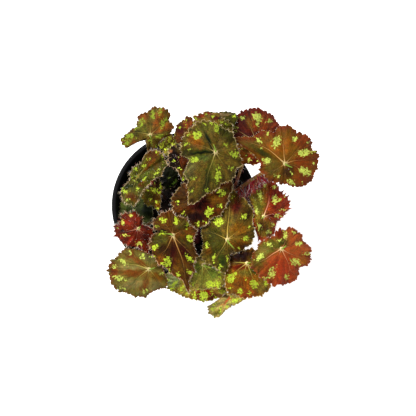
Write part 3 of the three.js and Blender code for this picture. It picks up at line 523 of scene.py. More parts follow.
grow(
    "back_centre", "leaf_red_brown", seat=(23.5, 60.7, 157.5), lean=(0, -0.25), droop=-3,
    ruffle=(7, 1.2), foot=(16.5, 20), route=[(19, 38, 120), (22, 52, 142)], thick=1.6,
    sinus=(270, 1.5), base="olive_brown", vein="brown", rim="cream", star="brown", light=1.24,
    lime_light=0.64,
    spots=[
        (-13.5, 8.2, 3.2, 2.4), (-0.4, 9.3, 2.4, 2.4), (6.3, 5.8, 3.2, 2, -30),
        (10.2, 3.4, 2.4, 1.6), (-5.6, 11.3, 2.4, 1.6),
    ],
    washes=[
        ("dark_red", -10.3, 10.5, 7.1, 3.9), ("maroon", 2.3, 8.2, 7.9, 3.9),
        ("deep_olive", 10.2, 2.6, 9.5, 7.1), ("dark_red", -4, 12.5, 6.3, 2.4),
    ],
    tips=[
        (-15, 5.5), (-15.5, 10.5), (-10.5, 12), (-6.5, 13.5), (-2.5, 13), (4.5, 12), (8, 8),
        (12, 6.5), (15, 3), (15, -3), (10, -8), (3, -10), (-4, -10), (-11, -7), (-15, 0),
    ],
)
grow(
    "back_low", "leaf_green", seat=(27.6, 69.4, 142), lean=(0, -0.5), droop=-1.5, ruffle=(5, 0.8),
    foot=(13, 35), route=[(18, 50, 113)], thick=1.4, sinus=(270, 1.5), base="deep_olive",
    vein="olive", rim="olive", star="olive", light=0.97,
    spots=[(13.1, 2.1, 4.8, 2, 20)],
    washes=[("grey_brown", 3.1, 3.2, 14.4, 2.4, 8)],
    tips=[
        (-11, 5.5), (-8, 6), (-2.5, 5), (7, 6), (13, 5), (16, 1), (13, -6), (0, -7), (-8, -4),
        (-11, 1),
    ],
)
grow(
    "gap_small", "leaf_red_brown", seat=(50.3, 39.6, 154), lean=(0, 0.15), droop=-1.5,
    ruffle=(7, 1.2), foot=(22, 10), route=[(30, 12, 113), (40.3, 15, 128), (45.8, 28.8, 142)],
    thick=1.5, sinus=(180, 1.5), base="brown", vein="red_brown", rim="pink_cream",
    lime="pale_lime", star="brown", light=3.06, lime_light=2.4, sharp=True, lashes=(1.4, 2.2),
    spots=[(4.3, 2.8, 4.7, 3.2), (2, -3.7, 2.8, 2.4), (-3.9, 5, 2.4, 1.6), (9.5, -4.5, 1.6, 1.6)],
    washes=[
        ("umber", -3.9, 8.1, 12.7, 8.7), ("umber", 4, 1, 9.5, 7.9),
        ("dark_red", 2.4, -1.4, 4.7, 4.7), ("maroon", 5.6, -4.5, 7.9, 4),
        ("dark_brown", -0.7, 3.4, 4, 4),
    ],
    tips=[
        (-13, 6), (-9.5, 9), (-5, 9), (0, 7), (5, 5.5), (9, 2.5), (10.5, -1.5), (12, -5.5),
        (7.5, -7), (5, -8), (1.5, -6.5), (-2.5, -6.5), (-6, -7), (-11, -4),
    ],
)
grow(
    "centre_dark", "leaf_dark", seat=(13.1, 4.4, 152), lean=(-0.05, 0.1), droop=-5,
    ruffle=(9, 1.6), foot=(15, 5.8), route=[(15, 6, 116)], thick=1.8, sinus=(120, 1.5),
    ribs=[62, 95, 20, 345, 300, 262, 225, 190, 150], base="brown", vein="dark_red", rim="cream",
    star="maroon", light=1.17, lime_light=1.55, lashes=(1.2, 2.6),
    spots=[
        (-17.7, -1.5, 2.2, 2.9), (-13.1, -10.5, 2.3, 3.6), (7, -9.6, 6.2, 8.4, -20),
        (17.1, 5.5, 7.7, 4.8, -10), (16.1, -4.9, 2.9, 2.9), (-1.3, -18.9, 3.2, 3.2),
        (4, -17.6, 2.2, 1.4),
    ],
    washes=[
        ("maroon", -1.5, -2.5, 23.8, 17.4), ("black_maroon", 2.4, -1, 4, 11.1, -35),
        ("dark_brown", -13.4, 1.4, 11.1, 17.4), ("dark_brown", 13.5, -2.9, 7.1, 6.3),
        ("bronze", 11.2, 0.6, 12.7, 6.3, -30), ("brown", -7.9, -11.3, 11.1, 6.3),
        ("black_maroon", -3.1, -13.6, 17.4, 7.1), ("olive_brown", 19.1, 7, 7.9, 4.8),
    ],
    tips=[
        (-14, 12.5), (-10, 14), (-5, 14), (3, 14), (10, 13), (15.5, 12), (20, 14), (24.5, 15),
        (26, 12.5), (25.5, 7.5), (22.5, 3), (23, -0.5), (20, -6.5), (16.5, -12.5), (9.5, -14),
        (6.5, -18.5), (1.5, -21), (-3, -23), (-8.5, -19.5), (-9.5, -14.5), (-16.5, -13.5),
        (-20.5, -12), (-22, -8), (-22.5, -3), (-22.5, 1.5), (-20.5, 4), (-17, 9),
    ],
)
grow(
    "left_long", "leaf_bronze", seat=(-8, -23.5, 160), lean=(0, 0.3), droop=-6, ruffle=(11, 1.7),
    pleats=[(168, 2.5, 14)], foot=(-4.5, -13), route=[(-6, -17, 120)], thick=2, sinus=(148, 7),
    ribs=[285, 235, 320, 18, 80, 126, 200, 262], base="bronze_brown", vein="vein_orange",
    rim="pink_cream", lime="bright_lime", light=0.7, margin=(0.86, 0.35), lashes=(1.4, 2.8),
    spots=[
        (-8.1, 12, 6.7, 4.3, -35), (2.4, 11.7, 3.9, 5.9, 10), (11.1, 7.8, 2, 4.3),
        (-13.2, 6.9, 2.4, 1.7), (-9, 1.5, 5.1, 2.4, 10), (12.9, -2.7, 4.7, 6.7),
        (-14.7, -9.7, 6.3, 4.3, 20), (-4.8, -21.4, 6.7, 8.7), (12.6, -18.7, 3.1, 9.4, 45),
        (12.9, -29.8, 5.1, 3.9, -30), (3.4, -31.6, 3.9, 4.3), (-3.6, -28.6, 1.7, 3.5),
        (-15.4, -17.5, 2.4, 2.4), (19.6, -13.2, 2, 3.1), (-8.7, -22.7, 3.1, 3.1),
    ],
    # Painted shadow: the thin black_maroon band beside the notch.
    washes=[
        ("olive", -10.3, -3.8, 12.6, 9.4, 10), ("olive_brown", 9.4, -6.9, 11, 6.3, -20),
        ("maroon", -0.8, -15.6, 7.1, 20.5, -10), ("dark_brown", -7.1, -11.6, 7.9, 11, 20),
        ("maroon", 8.6, -13.2, 6.3, 15.7, 25), ("orange", -11, -20.3, 7.1, 9.4),
        ("orange", 11.8, -43.9, 4.7, 12.6, 15), ("olive_brown", 6.3, 8.8, 9.4, 7.9),
        ("black_maroon", -9.5, 3.1, 11.8, 1.9), ("bronze", 5.5, -27.4, 9.4, 7.9),
        ("orange", 14.1, 1.7, 7.9, 3.9, -20),
    ],
    tips=[
        (-15, 12), (-12, 14.5), (-8.5, 17.5), (-3, 19.5), (-0.5, 19), (1, 15.5), (5, 14.5),
        (11, 13.5), (12.5, 8), (19, 4), (16.5, -0.5), (15.5, -6.5), (17.5, -14), (20, -17),
        (16.5, -20.5), (15.5, -24), (17.5, -29), (14.5, -32), (12, -36.5), (13, -43.5), (12, -47),
        (10, -43.5), (7.5, -36.5), (3.5, -34), (0.5, -32.5), (-3.5, -30), (-7.5, -25.5),
        (-12, -23), (-16, -16), (-17.5, -11), (-19.5, -7.5), (-17.5, -3.5), (-16, 0), (-10.5, 2.8),
        (-15.5, 4.8), (-15.5, 9),
    ],
)
grow(
    "right_centre", "leaf_bronze", seat=(34.9, -27.4, 144.5), lean=(-0.08, -0.02), droop=-6,
    ruffle=(10, 1.7), pleats=[(272, 2, 16)], foot=(20, -12), route=[(25, -17, 114)], thick=1.9,
    sinus=(288, 9), ribs=[82, 174, 246, 42, 5, 330, 265], base="bronze_olive", vein="gold",
    rim="cream", light=1.09, lime_light=1.2, lashes=(1.1, 2.2),
    spots=[
        (-6.8, 14.3, 7.6, 7.6), (13.3, 18.5, 6.4, 4.2, 25), (14.6, 1.1, 5.1, 3.9),
        (18, 10, 1.9, 1.9), (9.1, -6.8, 2.1, 1.6), (-10.5, -15.1, 2.1, 6.4, -12),
        (0.2, -14.5, 1.6, 4.5), (-6.2, -23, 2.5, 6.1, -10), (-16.6, -4.6, 3.2, 5.1),
        (-14.6, 2.9, 1.9, 1.9), (4.6, 34.1, 1.9, 1.9), (21.3, 16.5, 1.3, 1.9),
    ],
    washes=[
        ("deep_olive", -9.8, -5.8, 16, 20.8), ("deep_olive", -10.6, 6.1, 11.2, 8),
        ("maroon", 7, 26.9, 10.4, 14.4), ("bronze", 9.3, 8.5, 14.4, 9.6),
        ("bronze_brown", 10.1, -4.2, 14.4, 10.4), ("deep_green", -4.2, -17.8, 8, 12.8),
        ("dark_brown", 14.9, 20.5, 8, 11.2), ("olive_brown", -1, 14.1, 8, 17.6),
        ("olive_brown", 2.2, 34.9, 6.4, 8), ("bronze_brown", -15.4, -9, 6.4, 6.4),
    ],
    tips=[
        (1.5, 37.5), (3, 44.5), (4.8, 42), (8.5, 37), (13.5, 33.5), (18.5, 26.5), (21, 23.5),
        (21, 19.5), (20, 12.5), (21.7, 8.5), (22, 2), (19.5, -3.5), (13, -7.8), (8, -10),
        (3, -10.5), (2, -14.5), (2, -19), (0.5, -23.5), (-1.5, -27), (-8, -23.5), (-11.5, -21.5),
        (-17, -19), (-19.5, -16), (-21.5, -12.5), (-19.5, -5.5), (-20.5, 5.5), (-19.5, 10),
        (-15.5, 13), (-12, 17), (-5, 27), (0.3, 34),
    ],
)
grow(
    "front_left", "leaf_olive", seat=(-27.5, -51, 144.5), lean=(0.22, 0.3), droop=-5,
    ruffle=(10, 1.4), foot=(-13, -11.5), route=[(-16, -24, 111), (-22, -40, 128)], thick=1.9,
    sinus=(356, 5), ribs=[178, 225, 287, 140, 100, 255, 325, 205], base="khaki", vein="yellow",
    rim="red_brown", lime="pale_lime", light=0.75, lime_light=0.88, margin=(0.9, 0.5),
    contrast=CALM,
    spots=[
        (-20.9, 5.5, 8.8, 4, -35), (-24, -7.9, 10, 3.4, -10), (-28.5, 1.5, 4.4, 3.2),
        (-5.4, 10.3, 4.4, 4), (-15.4, 13.5, 2.4, 3.6), (-4.1, -18.3, 6, 3.2, 25),
        (-24.3, -15.9, 2.8, 1.8), (10.5, -3.1, 4.4, 2.1), (-20.3, -16.5, 2, 1.6),
        (1.5, 9.8, 1.6, 1.6),
    ],
    # Painted sheen: the pale_khaki and grey_olive washes are light shining off the tilted blade.
    washes=[
        ("rust", -12.5, -3, 20.8, 6.4), ("rust", -8.1, 5.8, 14.4, 4.4, -35),
        ("rust", -3.7, -12.6, 7.2, 12, -20), ("bronze", 6.3, -6.2, 11.2, 6.4, -25),
        ("pale_khaki", -14.5, 1.4, 19.2, 3.6), ("pale_khaki", -12.9, -12.2, 17.6, 6.4, 10),
        ("grey_olive", -0.9, 9.8, 12.8, 6.4, -20), ("pale_khaki", 3.9, -15, 8, 9.6),
        ("red_brown", -28.8, -2.2, 5.6, 12.8), ("red_brown", -15.3, 11.4, 8, 4.8, 30),
        ("olive_brown", 7.1, 2.6, 9.6, 4.8),
    ],
    tips=[
        (-19, 16.5), (-12, 16), (-6, 14.5), (0, 12), (6, 10), (10, 4), (12, -3.5), (14.5, -9.5),
        (13.5, -15.5), (8, -16.5), (1, -19), (-3, -23.7), (-11.5, -23.5), (-17.5, -20.5),
        (-25, -19.5), (-28.5, -16), (-31.5, -12), (-32.5, -7.5), (-35, -2), (-33, 2.5), (-31, 7.5),
        (-26.5, 9), (-25, 12.5),
    ],
)
grow(
    "left_red", "leaf_red_brown", seat=(-36.4, -18.7, 137), lean=(0.35, 0.15), droop=-3,
    ruffle=(9, 1.5), foot=(-22, -12), route=[(-24, -13, 109)], thick=1.6, sinus=(30, 2.5),
    ribs=[190, 330, 250, 60, 125, 290, 20, 222], base="strong_red", vein="pink_vein", rim="red",
    lime="yellow_lime", light=0.73, margin=(0.8, 0.5), sharp=True, lashes=(2.4, 3.4), bristles=60,
    spots=[
        (-6.2, 11.1, 3.2, 3.2), (-12.8, 4.5, 2.8, 5.2, 20), (-11.2, -5.6, 6, 2.1, -5),
        (0.1, -12.3, 6, 3.9, 10), (-17.3, 0.5, 1.6, 1.6),
    ],
    # Painted shadow: the thin black_maroon line is the shade in a crease.
    washes=[
        ("black_maroon", -11.2, -2.5, 12.1, 1.9, 8), ("maroon", 5.3, -5.9, 7.2, 8),
        ("red", -6.8, 6.1, 8.8, 5.6), ("red", -6, -9.1, 8, 5.6), ("dark_red", 0.4, 0.5, 8, 14.5),
        ("maroon", 6.9, 2.1, 6.4, 6.4),
    ],
    tips=[
        (-4.5, 14), (-2.5, 14), (-1.5, 11), (2.5, 8.5), (3, 5.5), (2.5, 3), (7.5, 1.5), (11.5, -1),
        (12, -5), (11, -8), (8, -12.5), (9.5, -16), (8, -21), (5, -18.5), (0, -15.5), (-6, -14.5),
        (-13, -12.5), (-16.5, -7.5), (-21, -6.5), (-20.5, -2.5), (-21.5, 2), (-16, 4.5),
        (-14.5, 8.5), (-14.5, 11), (-10.5, 13), (-7, 12.5),
    ],
)
grow(
    "right_red", "leaf_red_brown", seat=(64.4, -8.9, 134), lean=(-0.42, 0.05), droop=-3,
    ruffle=(9, 1.4), pleats=[(85, 2, 22)], foot=(33, -3), route=[(42, 3, 109), (54, 0, 124)],
    thick=1.7, sinus=(205, 2.5), ribs=[88, 60, 26, 3, 320, 294, 262, 112], base="dull_red",
    vein="pink_vein", rim="red", lime="pale_lime", light=1.45, lime_light=1.05, margin=(0.7, 0.8),
    sharp=True, lashes=(2.8, 2.8), bristles=60, shag=((0.3, 0.85), (-0.2, 0.7, 0.5), (2.5, 6)),
    spots=[
        (-2.9, 17.1, 3.2, 9.3, 20), (1.1, 24.5, 3.6, 4), (9.1, 23.9, 4.4, 3.2),
        (9.1, 13.4, 4.8, 8.1, -10), (13.4, 12.8, 2.4, 2.8), (15.3, 5.5, 4.4, 2.3),
        (11.6, 0.6, 5.2, 2.6, 10), (7.6, -6.5, 2.6, 2.8), (4.5, -13, 4, 3.6),
        (-3.5, -8.4, 4.8, 5.2), (-5.6, 4.7, 4, 5.2), (17.2, 15.7, 2, 2),
    ],
    washes=[
        ("olive", -6.2, 11.6, 14.5, 33.9), ("olive_brown", 1.9, -9.3, 11.3, 12.9),
        ("dark_brown", -1.4, -9.3, 8.1, 9.7), ("dark_red", 9.1, 14.9, 10.5, 21),
        ("maroon", 5.1, 0.4, 9.7, 3.2), ("olive_brown", -1.4, -14.2, 7.3, 4),
        ("dark_red", 16.4, 10.8, 4.8, 11.3), ("olive_brown", 1.1, 24.5, 6.4, 4.8),
    ],
    tips=[
        (3, 31), (10.5, 29.5), (12.5, 24), (16.5, 21), (20.5, 17), (22.5, 12.5), (22.5, 6.5),
        (20, 4.5), (18.7, 2), (15.5, -0.7), (13.5, -3.5), (11, -4.5), (10, -7), (9.5, -11.5),
        (8, -16.5), (4, -20), (-1, -22), (-4.3, -19.5), (-5, -15), (-7, -10), (-9, -6), (-8, -0.5),
        (-7.5, 4.5), (-10.5, 11), (-12, 16), (-10, 21.5), (-4.5, 28),
    ],
)
grow(
    "front_right", "leaf_red_brown", seat=(77.7, -34.3, 154), lean=(-0.32, 0.16), droop=-5,
    ruffle=(12, 1.7), pleats=[(212, 2, 22)], foot=(32, -10.5),
    route=[(38, -20, 108), (47, -36, 118), (59, -40, 126), (66, -38, 133)], thick=2,
    sinus=(12, 4.5), ribs=[220, 286, 339, 17, 76, 183, 250, 312], base="orange_red",
    vein="pink_orange", rim="orange_red", lime="pale_lime", light=1.08, margin=(0.78, 0.55),
    contrast=CALM,
    spots=[
        (3, 10.4, 4, 6.7), (10.6, 12.5, 2.8, 2.4), (14.2, 3.7, 6.7, 3.8),
        (11.4, -10.8, 9.1, 5.5, -20), (-7.9, -19.3, 5.9, 9.1, -8), (4.8, -22.9, 4, 5.1),
        (-17.6, -7.2, 8.3, 4, 42), (20.5, -4.2, 5.1, 2.4), (-9.7, 3.7, 7.5, 2.5, -10),
        (-0.4, 6.7, 3.6, 1.4), (-12.2, -23.3, 3.2, 1.9), (-4.4, -13.7, 1.6, 2.4),
    ],
    # Painted shadow: the deep_olive wash turned 40 degrees at the lower left.
    washes=[
        ("olive", -9.9, 1.3, 28.5, 11.9, 27), ("khaki", -16.3, -2.6, 11.9, 7.1, 25),
        ("olive", -18.6, -9.7, 12.7, 9.5, 40), ("deep_olive", -14.7, -15.3, 15.8, 4.7, 40),
        ("deep_olive", 1.8, 4.5, 9.5, 4.7, 10), ("dark_red", -1.7, 11.3, 6.3, 7.1),
        ("orange_red", 13, 2.9, 14.2, 15.8), ("brick", -0.4, -16.9, 23.7, 20.6),
        ("red_brown", -10.7, -16.9, 7.9, 11.1), ("orange_brown", 17, -11.3, 7.9, 11.1),
    ],
    tips=[
        (-4.5, 13.5), (-1, 16.5), (2, 14), (6, 17), (9, 16.5), (11.5, 14.5), (15, 12.5),
        (17, 10.5), (17, 6.5), (19.5, 4.5), (24, 0.5), (24.5, -2), (23.5, -6), (25, -9),
        (23, -11.5), (21.5, -14), (17.5, -14.5), (14.5, -15.5), (15, -20.5), (13, -22.5),
        (13, -25), (10.5, -26), (4.5, -28.5), (1.5, -29.5), (-1, -28.5), (-5.5, -30.5),
        (-9.5, -27.5), (-13.5, -24), (-17, -22.5), (-24.5, -15), (-23, -7), (-23, -3.5),
        (-18.5, 0.5), (-19, 3), (-16.5, 5), (-11, 8.5), (-7, 9.5),
    ],
)
grow(
    "front_right_low", "leaf_bronze", seat=(50.9, -46.4, 136.5), lean=(-0.08, 0.36), droop=-4,
    ruffle=(8, 1.5), foot=(17, -19), route=[(29, -30, 109), (42, -41, 124)], thick=1.8,
    sinus=(350, 3), ribs=[184, 290, 227, 258, 315, 345], base="bronze", vein="yellow", rim="cream",
    lime="bright_lime", light=1.36, lime_light=0.9,
    spots=[
        (-12.9, -12.4, 7.6, 7.6), (5.6, -17.3, 7.6, 7.6), (-5.2, -23.4, 4.8, 5.2),
        (2.5, -25, 3.2, 2.6), (15.4, -16.7, 3.2, 5.2), (2.8, -3.2, 4.4, 2.4),
        (-9.8, -8.7, 3.2, 3.2), (-12.9, -20.9, 2.4, 2.4), (-0.8, -12.8, 1.6, 1.6),
    ],
    washes=[
        ("brown_rust", -1.6, -16.8, 20.9, 10.5), ("black_maroon", -4.9, 5.7, 24.1, 10.5, 12),
        ("dark_red", -6.5, -3.3, 14.5, 4, 3), ("olive_brown", 12, -20, 9.7, 9.7),
        ("olive_brown", -2.4, -8, 9.7, 4.8), ("red_brown", 0, -25.7, 16.1, 8),
        ("deep_olive", 5.6, -6.4, 8, 4), ("olive", 7.2, 3.3, 8, 4.8),
    ],
    tips=[
        (-15.5, 0.5), (-13.5, 5), (-9.5, 7), (-3, 10), (4, 12), (12, 4), (18.5, -4), (21.5, -12),
        (19.5, -19.5), (17, -24), (13, -28), (9, -27.5), (7, -28), (-1, -30), (-8, -27),
        (-14.5, -25.5), (-17.5, -19), (-18, -13.5), (-17, -7),
    ],
)
grow(
    "front_green", "leaf_olive", seat=(15.5, -47.8, 131.5), lean=(-0.1, 0.3), droop=-4,
    ruffle=(7, 1.3), foot=(1.5, -26), route=[(4, -33, 107), (11, -42, 120)], thick=1.6,
    sinus=(318, 7.5), ribs=[264, 295, 322, 235, 200, 20], base="khaki", vein="bright_vein",
    rim="cream", lime="bright_lime", light=1.73, lime_light=1.2,
    spots=[
        (6, -16.5, 7.3, 6.5), (12.1, -16.1, 4.8, 5.7), (13.9, -2.8, 4, 8.1), (-2.5, -21, 4, 2.8),
        (-8.1, -15.7, 2.4, 2.4), (-6.5, -7.6, 2.4, 2.4), (13.7, -10.9, 2.4, 3.2),
    ],
    washes=[
        ("light_green", 2.4, -11.7, 14.5, 11.3), ("green", 8.8, -6, 10.5, 11.3),
        ("light_green", -6.5, -10.9, 6.5, 9.7), ("green", -4.1, -2.8, 6.5, 6.5),
    ],
    tips=[
        (-9, 0), (-4, 6), (4, 6), (10, 2), (11.5, -3), (16.5, -5), (19.5, -10.5), (18.5, -15.5),
        (13.5, -19.5), (9.5, -19.5), (-0.5, -21), (-9.5, -21), (-9.5, -10), (-7, -7),
    ],
)
grow(
    "front_low", "leaf_bronze", seat=(9.8, -60.8, 119), lean=(0, 0.4), droop=-4, ruffle=(8, 1.3),
    foot=(2.5, -33), route=[(4, -41, 101), (8, -53, 111)], thick=1.6, sinus=(90, 2),
    ribs=[200, 228, 252, 270, 290, 315, 340], base="bronze_olive", vein="green_vein",
    rim="lime_rim", lime="bright_lime", light=3.37, lime_light=1.35,
    spots=[
        (-18.3, -4.5, 4.3, 9, -30), (-12, -7.7, 6.4, 3.4, 45), (-1.3, -13.6, 3.2, 7.4),
        (6.1, -13.5, 7.4, 9.6), (13, -10.8, 3.2, 6.4), (21.1, -10, 5.3, 4.3),
        (-7.5, -11.6, 3.2, 3.2), (-23, -0.2, 3.2, 3.2), (16.2, -15.7, 3.2, 3.2),
    ],
    washes=[
        ("grey_green", -20.5, -1, 13.1, 13.1), ("olive", -8.3, -6.7, 9.8, 8.2),
        ("dark_red", 7.2, -10, 13.1, 4.9), ("maroon", 8.1, -14.1, 22.9, 6.5),
    ],
    tips=[
        (-27, -1), (-26.5, 4), (-18, 7), (-10, 10), (-1, 12), (9, 11), (18, 6), (23, -2),
        (25, -10), (24, -13), (20, -15.5), (13, -17.5), (6, -19.3), (0, -17.5), (-4.5, -16),
        (-11.5, -14.5), (-16.5, -11), (-23.5, -8),
    ],
)
grow(
    "front_folded", "leaf_olive", seat=(37.5, -75.6, 117), lean=(0.1, 0.35), droop=-1,
    ruffle=(6, 1), folds=[(130, 0.6), (310, 0.3)], foot=(17, -27),
    route=[(24, -38, 104), (36, -55, 111), (40, -68, 114)], thick=1.3, sinus=(30, 2),
    ribs=[228, 212, 245, 45, 20, 180], base="pale_khaki", vein="orange_red", rim="olive",
    star="orange_red", light=1.7,
    spots=[
        (3.9, -2.1, 7, 3.7, 15), (-13.6, -9.3, 4.9, 2.5, 30), (-7.3, -9.9, 2.5, 4.9, -30),
        (-2.9, -7.4, 2, 3.7, -35), (9, 0.6, 3.3, 2.5), (-12.3, -5.9, 3.3, 1.6, 40),
    ],
    # Painted shadow: the dark_brown wash.
    washes=[
        ("pale_khaki", -9, -5.9, 13.1, 6.6, 40), ("khaki", 4.9, -1.8, 9.8, 4.9),
        ("dark_brown", -4.1, 1.4, 5.7, 3.3), ("olive", -9.8, -11.7, 8.2, 4.1, 30),
        ("orange_red", -4.3, -3.5, 7.8, 1.2, 41), ("olive", -12.3, -5.1, 7.4, 1.1, 35),
        ("grey_brown", -0.8, -5.1, 6.6, 1.3, -30),
    ],
    tips=[
        (-18.5, -7), (-14, -4.5), (-8.5, -1), (-5, 1.5), (-3, 4), (3, 5), (8, 3), (12.5, -1),
        (6.5, -4.5), (0, -7.5), (-4.5, -11.5), (-8.5, -16), (-13, -17), (-17.5, -13.5), (-18, -10),
    ],
)
grow(
    "low_left", "leaf_green", seat=(-42.3, -3.9, 100), lean=(0.08, 0), droop=-2, ruffle=(7, 1),
    foot=(-38, -4.5), thick=1.3, sinus=(0, 1.5), base="green_grey", vein="green_grey",
    rim="grey_rim", lime="green_lime", star="green_grey", light=0.73,
    # Painted shade: the black_green wash darkens the leaf's right side, deep in the pot.
    washes=[
        ("green", -9.7, 4.3, 11.6, 10), ("deep_green", -0.6, -1.5, 13.3, 10),
        ("black_green", 11.1, 0.1, 11.6, 13.3), ("grey_green", -11.4, -3.2, 8.3, 10),
    ],
    tips=[
        (-12, 2.5), (-10, 8), (-7.5, 13), (-1, 15), (6.5, 12.5), (13.5, 8.5), (15.5, 1.5),
        (15, -6.5), (11, -13.5), (4, -16), (-3.5, -13.5), (-9.5, -7.5), (-12, -1.5),
    ],
)
grow(
    "low_inner", "leaf_green", seat=(-13.3, 22.5, 111), lean=(0.15, 0.1), droop=-2, ruffle=(6, 1),
    foot=(-9, 7), route=[(-10, 12, 99)], thick=1.3, sinus=(0, 2), base="deep_green",
    vein="deep_green", rim="green_olive", lime="green_lime", star="deep_green", light=0.25,
    lime_light=0.8,
    spots=[(4.8, -4, 2.5, 6.6, -40)],
    # Painted shade: the black_green wash, deep under the other leaves.
    washes=[("black_green", -3.4, 0.1, 9.9, 9.9)],
    tips=[
        (-6, 5), (-2.5, 10), (2.5, 12.5), (7.5, 10), (9.5, 5), (8, -1), (5, -6), (-1, -9),
        (-6, -6.5), (-7.5, -1),
    ],
)


def linear(name, light=1.0):
    """Surface colour that looks like the named sRGB one under the lights."""
    display = np.array(COLOURS[name]) / 255
    low = display / 12.92
    high = ((display + 0.055) / 1.055) ** 2.4
    surface = np.where(display <= 0.04045, low, high) - HAZE
    return np.maximum(surface, DARKEST) * light / EXPOSURE


def blend(a, b, share):
    """The mixture of a and b that has the given share of b."""
    return a * (1 - share) + b * share


def unit(ways):
    """Directions made one long."""
    return ways / np.linalg.norm(ways, axis=1)[:, None]


def circle(sides):
    """The angles of evenly spaced points round a circle."""
    return np.arange(sides) * 2 * np.pi / sides


# Meshes

def joined(parts):
    """One set of points, faces, material slots and point values from several parts."""
    points, faces, slots, layers = [], [], [], {}
    count = 0
    for part in parts:
        for slot, face in part["faces"]:
            faces.append(np.asarray(face) + count)
            slots.append(np.full(len(face), slot))
        for key, value in part["layers"].items():
            layers.setdefault(key, []).append((count, np.asarray(value, float)))
        points.append(part["points"])
        count += len(part["points"])
    return np.vstack(points), faces, np.concatenate(slots), layers


def mesh_object(name, parts, materials):
    """A smooth mesh object in metres from parts in millimetres, riding on the body."""
    points, faces, slots, layers = joined(parts)
    mesh = bpy.data.meshes.new(name)
    mesh.vertices.add(len(points))
    mesh.vertices.foreach_set("co", (points * MM).astype(np.float32).ravel())
    sizes = np.concatenate([np.full(len(face), face.shape[1]) for face in faces])
    corners = np.concatenate([face.ravel() for face in faces])
    mesh.loops.add(len(corners))
    mesh.loops.foreach_set("vertex_index", corners.astype(np.int32))
    mesh.polygons.add(len(sizes))
    starts = np.concatenate([[0], np.cumsum(sizes)[:-1]])
    mesh.polygons.foreach_set("loop_start", starts.astype(np.int32))
    mesh.polygons.foreach_set("material_index", slots.astype(np.int32))
    mesh.update(calc_edges=True)
    mesh.shade_smooth()
    for key, values in layers.items():
        colour = values[0][1].ndim == 2
        data = np.zeros((len(points), 4 if colour else 1), np.float32)
        for start, value in values:
            end = start + len(value)
            if colour:
                data[start:end, :3] = value
                data[start:end, 3] = 1
            else:
                data[start:end, 0] = value
        kind, field = ("FLOAT_COLOR", "color") if colour else ("FLOAT", "value")
        mesh.attributes.new(key, kind, "POINT").data.foreach_set(field, data.ravel())
    for material in materials:
        mesh.materials.append(material)
    piece = bpy.data.objects.new(name, mesh)
    bpy.context.scene.collection.objects.link(piece)
    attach(piece, BODY)
    return piece


def part_of(points, faces, tint=None, slot=0):
    """A part in one material slot, with a colour for each point or one for all."""
    layers = {}
    if tint is not None:
        tint = np.asarray(tint, float)
        layers["tint"] = np.tile(tint, (len(points), 1)) if tint.ndim == 1 else tint
    return {"points": points, "faces": [(slot, face) for face in faces], "layers": layers}


def ring_faces(rings, sides, closed=False):
    """Quads between rings of the same number of points; closed joins the last to the first."""
    last = rings if closed else rings - 1
    i = np.repeat(np.arange(last), sides)
    j = np.tile(np.arange(sides), last)
    above = ((i + 1) % rings) * sides
    beside = (j + 1) % sides
    return np.stack([i * sides + j, i * sides + beside, above + beside, above + j], 1)


def tube(line, radii, sides, flat=1, closed=False, up=(0, 0, 1)):
    """Points and faces of a tube along a line; flat is its height as a share of its width."""
    line = np.asarray(line, float)
    radii = np.broadcast_to(radii, (len(line),))
    along = np.roll(line, -1, 0) - np.roll(line, 1, 0)
    if not closed:
        along[0] = line[1] - line[0]
        along[-1] = line[-1] - line[-2]
    along /= np.linalg.norm(along, axis=1)[:, None] + 1e-9
    across = np.cross(along, np.broadcast_to(up, along.shape))
    across /= np.linalg.norm(across, axis=1)[:, None] + 1e-9
    other = np.cross(across, along)
    turns = circle(sides)
    points = (
        line[:, None]
        + across[:, None] * (np.cos(turns)[:, None] * radii[:, None, None])
        + other[:, None] * (np.sin(turns)[:, None] * radii[:, None, None] * flat)
    ).reshape(-1, 3)
    faces = [ring_faces(len(line), sides, closed)]
    if not closed:
        end = (len(line) - 1) * sides
        faces.append(np.arange(sides)[::-1][None])
        faces.append(np.arange(end, end + sides)[None])
    return points, faces


def hairs(roots, ways, lengths, radius, bend, rng):
    """Tapering three-sided hairs that lean over towards their tips."""
    n = len(roots)
    ways = unit(ways)
    side = unit(np.cross(ways, rng.normal(size=(n, 3))))
    third = np.cross(ways, side)
    lengths = lengths[:, None]
    middle = roots + ways * lengths * HAIR_MIDDLE + side * lengths * bend * HAIR_MIDDLE_BEND
    tip = roots + ways * lengths * HAIR_TIP + side * lengths * bend
    rings = []
    for centre, size in ((roots, 1), (middle, HAIR_MIDDLE_WIDTH)):
        for turn in (0, 2 * np.pi / 3, 4 * np.pi / 3):
            out = side * math.cos(turn) + third * math.sin(turn)
            rings.append(centre + out * radius * size)
    points = np.stack([*rings, tip], 1).reshape(-1, 3)
    base = (np.arange(n) * HAIR_POINTS)[:, None]
    quads = [base + np.array([[j, (j + 1) % 3, 3 + (j + 1) % 3, 3 + j]]) for j in range(3)]
    tris = [base + np.array([[3 + j, 3 + (j + 1) % 3, 6]]) for j in range(3)]
    return points, [np.vstack(quads), np.vstack(tris)]


def picked_colours(rng, count, tones):
    """A colour a hair, picked by the tones' shares and spread over its points."""
    choice = rng.choice(len(tones), count, p=list(tones.values()))
    palette = np.array([linear(name) for name in tones])
    return np.repeat(palette[choice] * rng.uniform(*HAIR_LIGHT, (count, 1)), HAIR_POINTS, 0)


# Leaf shape

